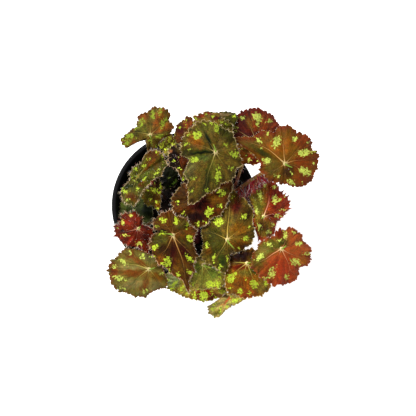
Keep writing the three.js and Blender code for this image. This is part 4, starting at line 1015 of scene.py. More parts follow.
def blade_height(leaf, x, y, share):
    """Height of a blade's upper face; share runs from 0 at the seat to 1 at the edge."""
    seat = leaf["seat"]
    bearing = np.arctan2(y, x)
    waves, wave = leaf["ruffle"]
    z = seat[2] + leaf["lean"][0] * x + leaf["lean"][1] * y + leaf["droop"] * share ** 2
    z = z + PILLOW * np.sin(np.pi * share) ** 2
    z = z + wave * share ** 3 * np.sin(waves * bearing + seat[0])
    z = z + FLUTTER * wave * share ** 4 * np.sin((waves + FLUTTER_WAVES) * bearing + seat[1])
    for toward, slope in leaf["folds"]:
        turn = math.radians(toward)
        z = z + slope * np.maximum(0, x * math.cos(turn) + y * math.sin(turn))
    for toward, depth, width in leaf["pleats"]:
        off = np.degrees(bearing) - toward
        off = off - 360 * np.round(off / 360)
        z = z - depth * share * np.exp(-((off / width) ** 2))
    return z


def finer_tips(tips, rng):
    """The tips, with smaller ones between two that lie far apart."""
    done = []
    for tip, after in zip(tips, np.roll(tips, -1, 0)):
        done.append(tip)
        extra = int(np.linalg.norm(after - tip) // LOBE_SPAN)
        for i in range(1, extra + 1):
            t = i / (extra + 1)
            done.append(blend(tip, after, t) * rng.uniform(*SMALL_TIPS))
    return np.array(done)


def outline(leaf, rng):
    """The blade's edge as plan points: rounded lobes, or pointed teeth where it is sharp."""
    tips = finer_tips(np.array(leaf["tips"], float), rng)
    tips = tips * (1 + GROWTH / np.linalg.norm(tips, axis=1))[:, None]
    after = np.roll(tips, -1, 0)
    count = len(tips)
    reach = np.linalg.norm(tips, axis=1)
    span = np.minimum(np.linalg.norm(after - tips, axis=1), WIDEST_LOBE)
    deep = rng.uniform(*NOTCH_DEPTHS, count)
    off = rng.uniform(*NOTCH_SHIFTS, count)
    wide = rng.uniform(*NOTCH_WIDTHS, count)
    points = []
    for step in range(TOOTH_STEPS):
        t = step / TOOTH_STEPS
        if leaf["sharp"]:
            depth = NOTCH * reach * math.sin(math.pi * t) ** 0.7 * deep
        else:
            notch = np.exp(-(((t - 0.5 - off) / wide) ** 2)) * deep
            bulge = LOBE * math.sin(2 * math.pi * t) ** 2 - ROUND * (t == 0)
            depth = span * (LOBE_NOTCH * notch - bulge)
        frill = FRILL * rng.uniform(-1, 1, count) * (t > 0)
        points.append(blend(tips, after, t) * (1 - (depth + frill) / reach)[:, None])
    return np.stack(points, 1).reshape(-1, 2)


def share_of(edge, x, y):
    """How far plan points are from the seat, as a share of the way to the edge."""
    bearings = np.arctan2(edge[:, 1], edge[:, 0])
    order = np.argsort(bearings)
    reach = np.hypot(edge[:, 0], edge[:, 1])[order]
    at = np.interp(np.arctan2(y, x), bearings[order], reach, period=2 * np.pi)
    return np.clip(np.hypot(x, y) / at, 0, 1)


def turn_between(a, b):
    """The angle between two bearings in degrees, without its sign."""
    return abs((a - b + 180) % 360 - 180)


def main_tips(leaf, tips):
    """Which tips the main veins run to, the plainest vein first."""
    bearings = np.degrees(np.arctan2(tips[:, 1], tips[:, 0]))
    if leaf["ribs"]:
        nearest = [int(turn_between(bearings, rib).argmin()) for rib in leaf["ribs"]]
        return list(dict.fromkeys(nearest))
    picked = []
    for i in np.argsort(-np.hypot(tips[:, 0], tips[:, 1])):
        if all(turn_between(bearings[i], bearings[j]) > VEIN_SPREAD for j in picked):
            picked.append(int(i))
    return picked


def vein_lines(leaf, rng):
    """Plan lines of the veins, each with its rank: 0 for a main vein, 1 for a branch."""
    tips = np.array(leaf["tips"], float)
    mains = main_tips(leaf, tips)
    bearings = np.degrees(np.arctan2(tips[:, 1], tips[:, 0]))
    t = np.linspace(0, 1, VEIN_STEPS)[:, None]
    lines, curves = [], {}
    for i in mains:
        aside = np.array([-tips[i, 1], tips[i, 0]])
        bow = rng.uniform(-VEIN_BOW, VEIN_BOW)
        sway = VEIN_SWAY * np.sin(3 * np.pi * t + rng.uniform(0, 6))
        curves[i] = tips[i] * t * VEIN_END + aside * (bow * np.sin(np.pi * t) + sway * t)
        lines.append((0, curves[i]))
    for i in range(len(tips)):
        if i in mains:
            continue
        main = min(mains, key=lambda j: turn_between(bearings[i], bearings[j]))
        off = turn_between(bearings[i], bearings[main])
        at = int(np.clip(BRANCH_LAST - off / 4, BRANCH_FIRST, BRANCH_LAST))
        start = curves[main][at]
        heading = curves[main][at + 1] - curves[main][at]
        heading = heading / np.linalg.norm(heading)
        control = start + heading * np.linalg.norm(tips[i] - start) * BRANCH_BEND
        s = np.linspace(0, 1, BRANCH_STEPS)[:, None]
        bent = (1 - s) ** 2 * start + 2 * s * (1 - s) * control
        lines.append((1, bent + s ** 2 * tips[i] * BRANCH_END))
    return lines


def vein_distance(lines, x, y):
    """Plan distance from points to the nearest vein, and to the nearest main vein."""
    nearest = np.full((2, len(x)), np.inf)
    here = np.stack([x, y], 1)
    for rank, line in lines:
        for a, b in zip(line[:-1], line[1:]):
            ab = b - a
            t = np.clip(((here - a) @ ab) / (ab @ ab), 0, 1)
            off = here - a - t[:, None] * ab
            reach = np.hypot(off[:, 0], off[:, 1])
            nearest[rank] = np.minimum(nearest[rank], reach)
    return nearest.min(0), nearest[0]


def oval(x, y, patch):
    """Square of the distance from an oval patch's middle, 1 on its outline."""
    px, py, width, height = patch[:4]
    turn = math.radians(patch[4]) if len(patch) > 4 else 0
    u = (x - px) * math.cos(turn) + (y - py) * math.sin(turn)
    v = (y - py) * math.cos(turn) - (x - px) * math.sin(turn)
    return (2 * u / width) ** 2 + (2 * v / height) ** 2


def mottle(x, y, seed, scale):
    """A smooth uneven field from -1 to 1."""
    total = 0
    for i in range(4):
        a = seed * (1.7 + i) + i
        total = total + np.sin(scale * (x * math.cos(a) + y * math.sin(a)) * (1 + 0.37 * i) + a)
    return total / 4


def rim_strength(leaf, x, y):
    """How pale the blade's margin is, from 0 to 1, in long uneven stretches."""
    return np.clip(RIM_MEAN + RIM_PATCHES * mottle(x, y, leaf["seat"][0] + 5, 0.5), 0, 1)


def blade_colour(leaf, x, y):
    """Colour of the upper face, without its blotches and veins; its light factor and rays are
    painted light and shade.
    """
    seed = leaf["seat"][0]
    wobble = WASH_WOBBLE * mottle(x, y, seed, 0.6)
    colour = np.tile(linear(leaf["base"]), (len(x), 1))
    for name, *patch in leaf["washes"]:
        weight = np.exp(-WASH_EDGE * oval(x + wobble, y - wobble, patch) ** 2)[:, None]
        colour = blend(colour, linear(name), weight)
    bearing = np.arctan2(y, x)
    # Painted shade of the pleats: darker and lighter rays between the veins, weaker near the seat.
    pleat_shade = sum(np.sin(count * bearing + seed * count) for count in PLEAT_SHADE_COUNTS)
    pleat_shade = pleat_shade / len(PLEAT_SHADE_COUNTS) * np.clip(np.hypot(x, y) / PLEAT_SHADE_REACH, 0, 1)
    uneven = 1 + leaf["contrast"] * (PATCHES * mottle(x, y, seed + 2, 1.1) + PLEAT_SHADE * pleat_shade)
    # Painted light and shade: the whole leaf is made brighter or darker by its light factor.
    return colour * leaf["light"] * uneven[:, None]


def blotch_field(leaf, x, y):
    """Millimetres inside the nearest lime blotch, below zero outside."""
    wobble = BLOTCH_WOBBLE * mottle(x, y, leaf["seat"][1], 1.4)
    field = np.full(len(x), BLOTCH_FAR)
    for patch in leaf["spots"]:
        reach = np.sqrt(oval(x + wobble, y - wobble, patch))
        field = np.maximum(field, (1 - reach) * min(patch[2], patch[3]) / 2)
    return np.minimum(field, BLOTCH_DEPTH)


def face_height(leaf, lines, x, y, share):
    """Height of the upper face with the valleys of its veins, and the distance to a vein."""
    gap, main_gap = vein_distance(lines, x, y)
    inside = np.sin(np.pi * np.clip(share, 0.02, 0.98)) ** 0.5
    relief = RELIEF * (1 - np.exp(-((gap / RELIEF_WIDTH) ** 2)))
    relief = relief + MAIN_RELIEF * (1 - np.exp(-((main_gap / MAIN_RELIEF_WIDTH) ** 2)))
    z = blade_height(leaf, x, y, share) + (relief - 0.5 * (RELIEF + MAIN_RELIEF)) * inside
    bearing = np.arctan2(y, x)
    curl = CURL * share ** 8 * np.sin(len(leaf["tips"]) * bearing + leaf["seat"][1])
    crease = CREASE * share * mottle(x, y, leaf["seat"][1], 1.7)
    return z - FACE_SINK + curl + crease, gap


def placed(leaf, x, y, z):
    """Points in space from plan points that are measured from the seat."""
    return np.stack([leaf["seat"][0] + x, leaf["seat"][1] + y, z], 1)


def on_blade(leaf, edge, lines, x, y, lift):
    """Points in space on a blade's upper face, raised by lift."""
    z, _ = face_height(leaf, lines, x, y, share_of(edge, x, y))
    return placed(leaf, x, y, z + lift)


def upper_colour(leaf, x, y, gap, share):
    """Colour of the upper face with painted shade in the vein valleys, a dark border, a red margin
    and a pale rim.
    """
    # Painted shade: the blade is darker along the veins, where their valleys lie.
    valley_shade = VALLEY_SHADE * np.exp(-((gap / VALLEY_SHADE_WIDTH) ** 2)) * np.clip(share * 3, 0, 1)
    colour = blade_colour(leaf, x, y) * (1 - valley_shade)[:, None]
    border = (BORDER * np.exp(-(((share - BORDER_AT) / RIM_WIDTH) ** 2)))[:, None]
    colour = colour * (1 - border)
    if leaf["margin"]:
        start, strength = leaf["margin"]
        red = np.clip((share - start) / (MARGIN_END - start), 0, 1) * strength
        patches = MARGIN_MEAN + MARGIN_PATCHES * mottle(x, y, leaf["seat"][1], 0.35)
        red = (red * np.clip(patches, 0, 1))[:, None]
        # The red margin takes the leaf's light factor too: painted light and shade.
        colour = blend(colour, linear("margin_red") * leaf["light"], red)
    rim = np.clip((share - RIM_START) / RIM_WIDTH, 0, 1)[:, None] * RIM_WEIGHT
    rim = rim * rim_strength(leaf, x, y)[:, None]
    return blend(colour, linear(leaf["rim"]), rim)


def blade_part(leaf, edge, lines):
    """Upper and lower face of a blade and the thin wall between them."""
    n = len(edge)
    points, faces, starts = [], [], []
    layers = {"tint": [], "lime": [], "blotch": []}
    count = 0
    for under, shares in enumerate((SHARES, UNDER_SHARES)):
        share = np.repeat(shares, n)
        x, y = (np.tile(edge, (len(shares), 1)) * share[:, None]).T
        z, gap = face_height(leaf, lines, x, y, share)
        field = blotch_field(leaf, x, y)
        # Painted light and shade: the blotches are scaled by the leaf's lime_light factor.
        lime = linear(leaf["lime"]) * leaf["lime_light"]
        quads = ring_faces(len(shares), n) + count
        if under:
            z = z - SKIN - (SKIN_EDGE - SKIN) * share ** 3
            colour = blend(blade_colour(leaf, x, y), linear("underside"), UNDER_WEIGHT)
            field = field - UNDER_FADE
            lime = lime * UNDER_LIME
            faces.append((UNDER_SLOT, quads))
        else:
            colour = upper_colour(leaf, x, y, gap, share)
            faces.append((SKIN_SLOT, quads[:, ::-1]))
        starts.append(count + (len(shares) - 1) * n)
        count += len(x)
        points.append(placed(leaf, x, y, z))
        layers["tint"].append(colour)
        layers["lime"].append(np.tile(lime, (len(x), 1)))
        layers["blotch"].append(field)
    upper, lower = (start + np.arange(n) for start in starts)
    wall = np.stack([upper, np.roll(upper, -1), np.roll(lower, -1), lower], 1)
    faces.append((SKIN_SLOT, wall))
    return {"points": np.vstack(points), "faces": faces,
            "layers": {key: np.concatenate(value) for key, value in layers.items()}}


def centre_parts(leaf, edge, lines, size, light):
    """The green stub of the stalk in the blade's notch, and the pale star at the seat."""
    bearing, length = leaf["sinus"]
    run = np.linspace(0, 1, STUB_STEPS)
    bend = math.radians(bearing) + 0.35 * np.sin(np.pi * run / 2)
    x, y = np.cos(bend) * run * length, np.sin(bend) * run * length
    stub = on_blade(leaf, edge, lines, x, y, STUB_LIFT)
    stub_points, stub_faces = tube(stub, size * (0.85 - 0.5 * run), STUB_SIDES, flat=0.8)
    turns = circle(STAR_SIDES)
    rings = []
    for radius, lift in STAR_RINGS:
        lobed = size * radius * (1 + 0.18 * np.sin(STAR_LOBES * turns + leaf["seat"][0]))
        x, y = lobed * np.cos(turns), lobed * np.sin(turns)
        rings.append(on_blade(leaf, edge, lines, x, y, lift * size))
    star_faces = [ring_faces(len(rings), STAR_SIDES), np.arange(STAR_SIDES)[None]]
    return [
        part_of(stub_points, stub_faces, linear("petiole", light), VEIN_SLOT),
        part_of(np.vstack(rings), star_faces, linear(leaf["star"], light), VEIN_SLOT),
    ]


def vein_parts(leaf, edge, lines, rng):
    """The veins as low ridges on both faces, with the stub and the star in their middle."""
    parts = []
    size = min(1, 0.5 + leaf["thick"] / 4.2)
    # Painted light and shade: the veins, star and stub take the leaf's light factor, kept between
    # 0.8 and 1.9.
    light = min(max(leaf["light"], 0.8), 1.9)
    for number, (rank, line) in enumerate(lines):
        x, y = line.T
        run = np.linspace(0, 1, len(line))
        if rank == 0:
            plain = 0.8 ** number
            fade = np.exp(-((run / (0.12 + 0.45 * plain)) ** 2))
            radii = size * (0.08 + 0.34 * plain * fade + 0.3 * np.exp(-run / 0.07))
            keep = (0.35 + 0.63 * plain) * fade
        else:
            radii = size * (0.15 - 0.08 * run)
            keep = rng.uniform(0.05, 0.4) * (1 - run)
        colour = blade_colour(leaf, x, y) * (1 - 0.25 * (rank == 0) * run)[:, None]
        colour = blend(colour, linear(leaf["vein"], light), keep[:, None])
        if rank == 0:
            glow = np.exp(-((run / 0.08) ** 2))[:, None]
            colour = blend(colour, linear(leaf["star"], light), glow)
        upper = on_blade(leaf, edge, lines, x, y, radii * 0.15)
        points, faces = tube(upper, radii, VEIN_SIDES, flat=0.6)
        parts.append(part_of(points, faces, np.repeat(colour, VEIN_SIDES, 0), VEIN_SLOT))
        lower = on_blade(leaf, edge, lines, x, y, -SKIN)
        points, faces = tube(lower, radii * 1.4, UNDER_VEIN_SIDES, flat=0.9)
        parts.append(part_of(points, faces, linear("under_vein"), VEIN_SLOT))
    return parts + centre_parts(leaf, edge, lines, size, light)


def edge_line(leaf, edge, lines, share):
    """The blade's edge in space, at mid thickness."""
    x, y = edge.T * share
    z, _ = face_height(leaf, lines, x, y, np.full(len(edge), share))
    return placed(leaf, x, y, z - SKIN_EDGE / 2)


def rim_part(leaf, edge, lines, rng):
    """The thin pale bead along the edge, stronger in some places than in others."""
    line = edge_line(leaf, edge, lines, RIM_AT)
    n = len(line)
    patchy = rim_strength(leaf, *edge.T) * np.clip(0.9 + 0.4 * rng.normal(size=n), 0.1, 1)
    patchy = (patchy + np.roll(patchy, 1) + np.roll(patchy, -1)) / 3
    radii = RIM_THIN + RIM_SWELL * patchy
    points, faces = tube(line, radii, RIM_SIDES, closed=True)
    local = blade_colour(leaf, *(edge * 0.97).T)
    colour = blend(local, linear(leaf["rim"]), patchy[:, None])
    return part_of(points, faces, np.repeat(colour, RIM_SIDES, 0), VEIN_SLOT)


def lash_part(leaf, edge, lines, rng):
    """White and red lashes along the edge, most at the tips of the teeth."""
    density, longest = leaf["lashes"]
    line = edge_line(leaf, edge, lines, LASH_AT)
    after = np.roll(line, -1, 0)
    step = np.linalg.norm(after - line, axis=1)
    near_tip = np.cos(2 * np.pi * (np.arange(len(edge)) % TOOTH_STEPS) / TOOTH_STEPS)
    weight = step * (1 + LASH_AT_TIPS * near_tip)
    n = int(step.sum() * density)
    which = rng.choice(len(edge), n, p=weight / weight.sum())
    along = rng.uniform(0, 1, n)[:, None]
    roots = blend(line[which], after[which], along)
    ways = np.hstack([unit(edge)[which], np.zeros((n, 1))])
    ways = ways + rng.normal(0, LASH_SPREAD, (n, 3)) + [0, 0, LASH_LIFT]
    lengths = rng.uniform(LASH_SHORTEST, longest, n)
    points, faces = hairs(roots, ways, lengths, LASH_RADIUS, LASH_BEND, rng)
    tones = RED_LASH_TONES if leaf["sharp"] else LASH_TONES
    return part_of(points, faces, picked_colours(rng, n, tones))


def bristle_part(leaf, edge, lines, rng):
    """Long soft hairs that stand on the blade, most of them near its margin."""
    count = leaf["bristles"]
    which = rng.integers(0, len(edge), count)
    share = rng.uniform(0.02, 1, count) ** 0.6 * 0.97
    x, y = edge[which].T * share
    z, _ = face_height(leaf, lines, x, y, share)
    roots = placed(leaf, x, y, z)
    ways = np.hstack([unit(edge[which]), np.full((count, 1), BRISTLE_LIFT)])
    ways = ways + rng.normal(0, BRISTLE_SPREAD, (count, 3))
    lengths = rng.uniform(*BRISTLE_LENGTHS, count)
    points, faces = hairs(roots, ways, lengths, BRISTLE_RADIUS, BRISTLE_BEND, rng)
    tones = RED_BRISTLE_TONES if leaf["sharp"] else BRISTLE_TONES
    return part_of(points, faces, picked_colours(rng, count, tones))


# Stalks

def curve_points(points, shares):
    """Points on a centripetal spline through the given ones."""
    points = np.array(points, float)
    padded = np.vstack([2 * points[0] - points[1], points, 2 * points[-1] - points[-2]])
    spans = len(points) - 1
    found = []
    for share in shares:
        at = share * spans
        i = min(int(at), spans - 1)
        w = at - i
        p0, p1, p2, p3 = padded[i:i + 4]
        d0, d1, d2 = (max(np.sum((b - a) ** 2) ** 0.25, 1e-4)
                      for a, b in ((p0, p1), (p1, p2), (p2, p3)))
        t1 = ((p1 - p0) / d0 - (p2 - p0) / (d0 + d1) + (p2 - p1) / d1) * d1
        t2 = ((p2 - p1) / d1 - (p3 - p1) / (d1 + d2) + (p3 - p2) / d2) * d1
        found.append(p1 + t1 * w + (3 * (p2 - p1) - 2 * t1 - t2) * w ** 2
                     + (2 * (p1 - p2) + t1 + t2) * w ** 3)
    return np.array(found)


def stalk_line(leaf):
    """The stalk's axis from the soil to the blade."""
    x, y = leaf["foot"]
    seat = leaf["seat"]
    top = seat[2] - BLADE * math.hypot(1, *leaf["lean"]) - 0.5
    bend = (top - SOIL_TOP) / 4
    points = [
        (x, y, SOIL_TOP - HOLE_DEPTH + 0.3), (x, y, SOIL_TOP),
        (x, y, SOIL_TOP + min(UPRIGHT_START, bend)), *leaf["route"],
        (seat[0], seat[1], top - min(APPROACH, bend)), (seat[0], seat[1], seat[2] - 1),
    ]
    count = max(24, int(top - SOIL_TOP) + 12)
    return curve_points(points, np.linspace(0, 1, count))


def stalk_parts(leaf, rng):
    """A fleshy stalk, and the parts of the hair on it."""
    line = stalk_line(leaf)
    run = np.linspace(0, 1, len(line))
    seat, foot = leaf["seat"], leaf["foot"]
    radii = leaf["thick"] * (1 - (1 - STALK_TAPER) * run)
    radii = radii * (1 + 0.04 * np.sin(run * 37 + seat[0]))
    aside = np.array([foot[1] - seat[1], seat[0] - foot[0], 0.01])
    points, faces = tube(line, radii, STALK_SIDES, up=aside / np.linalg.norm(aside))
    mix = np.clip(0.25 + 0.3 * run + 0.25 * np.sin(run * 23 + foot[0]), 0, 1)[:, None]
    colour = blend(linear("stalk_red"), linear("stalk_green"), mix)
    # Painted shade: the stalk's colour darkens the lower it runs towards the soil.
    colour = colour * np.clip((line[:, 2:] - STALK_DARK) / STALK_DARK_RANGE, 0.1, 1.15)
    skin = part_of(points, faces, np.repeat(colour, STALK_SIDES, 0))
    hair = [stalk_hairs(line, radii, rng, FUZZ_DENSITY * leaf["thick"], **FUZZ)]
    if leaf["shag"]:
        share, way, lengths = leaf["shag"]
        hair.append(stalk_hairs(line, radii, rng, SHAG_DENSITY, share, way, lengths, **SHAG))
    return skin, hair


def stalk_hairs(line, radii, rng, density, share, way, lengths, radius, tones):
    """Hairs on a stretch of stalk that lean the given way; low ones are in the soil's shade."""
    n = len(line)
    length = np.linalg.norm(np.diff(line, axis=0), axis=1).sum() * (share[1] - share[0])
    count = int(length * density)
    index = (rng.uniform(*share, count) * (n - 1)).astype(int)
    along = line[index + 1] - line[index]
    centre = line[index] + along * rng.uniform(0, 1, (count, 1))
    along = unit(along)
    out = unit(np.cross(along, rng.normal(size=(count, 3))))
    leaning = rng.uniform(size=count) < LEANING_SHARE
    out *= np.where((out @ np.array(way) < 0) & leaning, -1, 1)[:, None]
    out = unit(out + np.array(way) * LEANING_PULL * leaning[:, None])
    roots = centre + out * (radii[index] * STALK_HAIR_ROOT)[:, None]
    ways = out + along * rng.normal(*STALK_HAIR_ALONG, count)[:, None] + np.array(way)
    ways += rng.normal(0, STALK_HAIR_SPREAD, (count, 3))
    lengths = rng.uniform(*lengths, count)
    points, faces = hairs(roots, ways, lengths, radius, STALK_HAIR_BEND, rng)
    colour = picked_colours(rng, count, tones)
    height = np.repeat(roots[:, 2], HAIR_POINTS)
    colour = colour * np.clip((height - SHADE_LEVEL) / SHADE_RANGE, 0.06, 1)[:, None]
    return part_of(points, faces, colour)


# Materials

class Shader:
    """A principled material, with short ways to add nodes to it."""

    def __init__(self, name, roughness, specular):
        self.material = bpy.data.materials.new(name)
        self.material.use_nodes = True
        self.nodes = self.material.node_tree.nodes
        self.links = self.material.node_tree.links
        self.inputs = self.nodes["Principled BSDF"].inputs
        self.inputs["Roughness"].default_value = roughness
        self.inputs["Specular IOR Level"].default_value = specular

    def texture(self, kind, output, **settings):
        """A texture in the object's own space."""
        place = self.nodes.new("ShaderNodeTexCoord")
        node = self.nodes.new(kind)
        for key, number in settings.items():
            node.inputs[key].default_value = number
        self.links.new(place.outputs["Object"], node.inputs["Vector"])
        return node.outputs[output]

    def noise(self, scale, detail=3, rough=0.6):
        return self.texture(
            "ShaderNodeTexNoise", "Fac", Scale=scale, Detail=detail, Roughness=rough)

    def remap(self, value, low, high, to_low, to_high, smooth=False):
        node = self.nodes.new("ShaderNodeMapRange")
        node.interpolation_type = "SMOOTHSTEP" if smooth else "LINEAR"
        self.links.new(value, node.inputs["Value"])
        for key, number in (("From Min", low), ("From Max", high), ("To Min", to_low),
                            ("To Max", to_high)):
            node.inputs[key].default_value = number
        return node.outputs["Result"]

    def maths(self, operation, a, b):
        node = self.nodes.new("ShaderNodeMath")
        node.operation = operation
        self.links.new(a, node.inputs[0])
        self.links.new(b, node.inputs[1])
        return node.outputs[0]

    def mixed(self, kind, factor, a, b):
        """Two colours mixed by a blend kind; each value is a socket or a constant."""
        node = self.nodes.new("ShaderNodeMix")
        node.data_type = "RGBA"
        node.blend_type = kind
        colours = [socket for socket in node.inputs if socket.type == "RGBA"]
        for socket, value in zip((node.inputs[0], *colours), (factor, a, b)):
            if isinstance(value, (float, tuple)):
                socket.default_value = value
            else:
                self.links.new(value, socket)
        return next(socket for socket in node.outputs if socket.type == "RGBA")

    def times(self, a, b):
        return self.mixed("MULTIPLY", 1.0, a, b)

    def attribute(self, name, output="Color"):
        node = self.nodes.new("ShaderNodeAttribute")
        node.attribute_name = name
        return node.outputs[output]

    def paint(self, colour):
        self.links.new(colour, self.inputs["Base Color"])

    def bump(self, height, strength, distance):
        node = self.nodes.new("ShaderNodeBump")
        node.inputs["Strength"].default_value = strength
        node.inputs["Distance"].default_value = distance
        self.links.new(height, node.inputs["Height"])
        self.links.new(node.outputs["Normal"], self.inputs["Normal"])


def leaf_material(name, roughness, specular, contrast):
    """Blotched leaf skin: a colour a point, lime blotches with ragged, holed outlines and painted
    sheen.
    """
    skin = Shader(name, roughness, specular)
    ragged = skin.remap(skin.noise(620, 1, 0.5), 0.33, 0.67, -1.1, 1.1)
    fringe = skin.remap(skin.noise(1700, 1, 0.5), 0.3, 0.7, -0.5, 0.5)
    field = skin.maths("ADD", skin.attribute("blotch", "Fac"), ragged)
    field = skin.maths("ADD", field, fringe)
    mask = skin.remap(field, 0.1, 0.65, 0, 1, True)
    grain = skin.noise(1000, 3, 0.75)
    wide = skin.noise(240, 3)
    shade = skin.remap(wide, 0.32, 0.68, 1 - 0.4 * contrast, 1 + 0.38 * contrast)
    fine = skin.remap(grain, 0.3, 0.7, 1 - 0.7 * contrast, 1 + 0.7 * contrast)
    both = skin.maths("MULTIPLY", shade, fine)
    turn = skin.remap(skin.noise(430, 3, 0.7), 0.36, 0.64, 0, 1)
    hue = skin.mixed("MIX", turn, (1.15, 0.93, 0.78, 1), (0.87, 1.05, 0.8, 1))
    tint = skin.times(skin.times(skin.attribute("tint"), hue), both)
    # Painted sheen and darker speckles: a fine noise makes the blotches' colour brighter and
    # darker.
    gloss = skin.remap(skin.noise(1300, 2), 0.36, 0.64, 0.55, 1.28)
    lime = skin.times(skin.attribute("lime"), gloss)
    skin.paint(skin.mixed("MIX", mask, tint, lime))
    cells = skin.texture("ShaderNodeTexVoronoi", "Distance", Scale=900)
    skin.bump(skin.maths("SUBTRACT", grain, cells), 0.6, 0.0005)
    return skin.material


def tinted_material(name, roughness, specular, scale=1800, amount=0.15, rise=0.0001):
    """A material that takes its colour from the mesh, a little uneven."""
    skin = Shader(name, roughness, specular)
    uneven = skin.noise(scale)
    shade = skin.remap(uneven, 0.3, 0.7, 1 - amount, 1 + amount)
    skin.paint(skin.times(skin.attribute("tint"), shade))
    skin.bump(uneven, 0.4, rise)
    return skin.material


def pot_material():
    """Black moulded plastic with a faint orange peel, dust and scuffs."""
    plastic = Shader("pot_plastic", 0.5, 0.08)
    peel = plastic.noise(1400, 2)
    dust = plastic.remap(plastic.noise(60, 5, 0.7), 0.5, 0.8, 0, 0.5, True)
    plastic.paint(plastic.mixed("MIX", dust, (0.0035, 0.0035, 0.004, 1), (0.016, 0.015, 0.014, 1)))
    scuffs = plastic.remap(plastic.noise(240, 4, 0.7), 0.3, 0.7, 0.4, 0.65)
    plastic.links.new(scuffs, plastic.inputs["Roughness"])
    plastic.bump(peel, 0.15, 0.0001)
    return plastic.material


def soil_material():
    """Dark moist peat, darkened further as painted shade deep in the pot."""
    peat = Shader("potting_soil", 0.95, 0.1)
    clods = peat.noise(300, 5, 0.75)
    mask = peat.remap(clods, 0.35, 0.7, 0, 1)
    peat.paint(peat.mixed("MIX", mask, (0.0015, 0.0012, 0.001, 1), (0.01, 0.007, 0.004, 1)))
    peat.bump(clods, 0.9, 0.001)
    return peat.material


def make_leaves():
    rough = leaf_material("leaf_skin", 0.5, 0.06, 1)
    calm = leaf_material("leaf_skin_calm", 0.5, 0.06, CALM)
    under = leaf_material("leaf_underside", 0.6, 0.1, 1)
    vein = tinted_material("leaf_vein", 0.5, 0.1)
    lash = tinted_material("lash_hair", 0.5, 0.2, amount=0.05)
    stem = tinted_material("stalk_skin", 0.5, 0.2, scale=900, amount=0.25, rise=0.0002)
    for number, (name, leaf) in enumerate(LEAVES.items()):
        rng = np.random.default_rng(LEAF_SEED + number)
        upper = calm if leaf["contrast"] == CALM else rough
        edge = outline(leaf, rng)
        lines = vein_lines(leaf, rng)
        blade = mesh_object(f"leaf_{name}", [
            blade_part(leaf, edge, lines), *vein_parts(leaf, edge, lines, rng),
            rim_part(leaf, edge, lines, rng),
        ], [upper, under, vein])
        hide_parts(f"blade_{name}")
        fringe = [lash_part(leaf, edge, lines, rng)]
        if leaf["bristles"]:
            fringe.append(bristle_part(leaf, edge, lines, rng))
        lashes = mesh_object(f"lashes_{name}", fringe, [lash])
        skin, hair = stalk_parts(leaf, rng)
        stalk = mesh_object(f"stem_{name}", [skin], [stem])
        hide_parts(f"stalk_{name}")
        mesh_object(f"shag_{name}", hair, [lash])


# Pot and soil

def wall_radius(z):
    """Radius of the pot's outer wall, without rim and shoulder, at a height."""
    return BASE_RADIUS + (WALL_TOP_RADIUS - BASE_RADIUS) * z / POT_HEIGHT


def lathe(profile, sides):
    """A closed turned shape from (radius, height) pairs that start and end on the axis."""
    turns = circle(sides)
    rings = [
        np.stack([r * np.cos(turns), r * np.sin(turns), np.full(sides, float(z))], 1)
        for r, z in profile[1:-1]
    ]
    points = np.vstack([*rings, [[0, 0, profile[0][1]]], [[0, 0, profile[-1][1]]]])
    n = len(rings)
    j = np.arange(sides)
    k = (j + 1) % sides
    first, last = n * sides, n * sides + 1
    start = np.stack([np.full(sides, first), k, j], 1)
    end = np.stack([np.full(sides, last), (n - 1) * sides + j, (n - 1) * sides + k], 1)
    return part_of(points, [ring_faces(n, sides), start, end])


def rounded(corners, radius, steps=4):
    """A profile with its inner corners rounded off."""
    done = [corners[0]]
    for before, here, after in zip(corners[:-2], corners[1:-1], corners[2:]):
        here = np.array(here, float)
        ends = []
        for other in (before, after):
            way = np.array(other, float) - here
            reach = np.linalg.norm(way)
            ends.append(here + way / reach * min(radius, reach * 0.4))
        for t in np.linspace(0, 1, steps):
            done.append(tuple((1 - t) ** 2 * ends[0] + 2 * t * (1 - t) * here
                              + t ** 2 * ends[1]))
    return [*done, corners[-1]]


def pot_profile():
    """The pot's section as (radius, height) pairs, from the underside's middle to the floor's."""
    under_rim = POT_HEIGHT - RIM_DEPTH
    shoulder = under_rim - SHOULDER_DROP
    lip = RIM_RADIUS + LIP
    return rounded([
        (0, 0), (CENTRE_PAD_RADIUS, 0), (CENTRE_PAD_RADIUS + 1, FOOT_RISE),
        (FOOT_RING_INNER - 1, FOOT_RISE), (FOOT_RING_INNER, 0), (BASE_RADIUS, 0),
        (wall_radius(shoulder - 1), shoulder - 1), (wall_radius(shoulder) + SHOULDER, shoulder),
        (wall_radius(under_rim) + SHOULDER, under_rim), (RIM_RADIUS, under_rim),
        (RIM_RADIUS, POT_HEIGHT - LIP_FOOT), (lip, POT_HEIGHT - LIP_DEPTH),
        (lip, POT_HEIGHT), (wall_radius(POT_HEIGHT) - WALL, POT_HEIGHT),
        (wall_radius(FLOOR + CORNER) - WALL, FLOOR + CORNER),
        (wall_radius(FLOOR) - WALL - CORNER, FLOOR), (0, FLOOR),
    ], EDGE_ROUND)


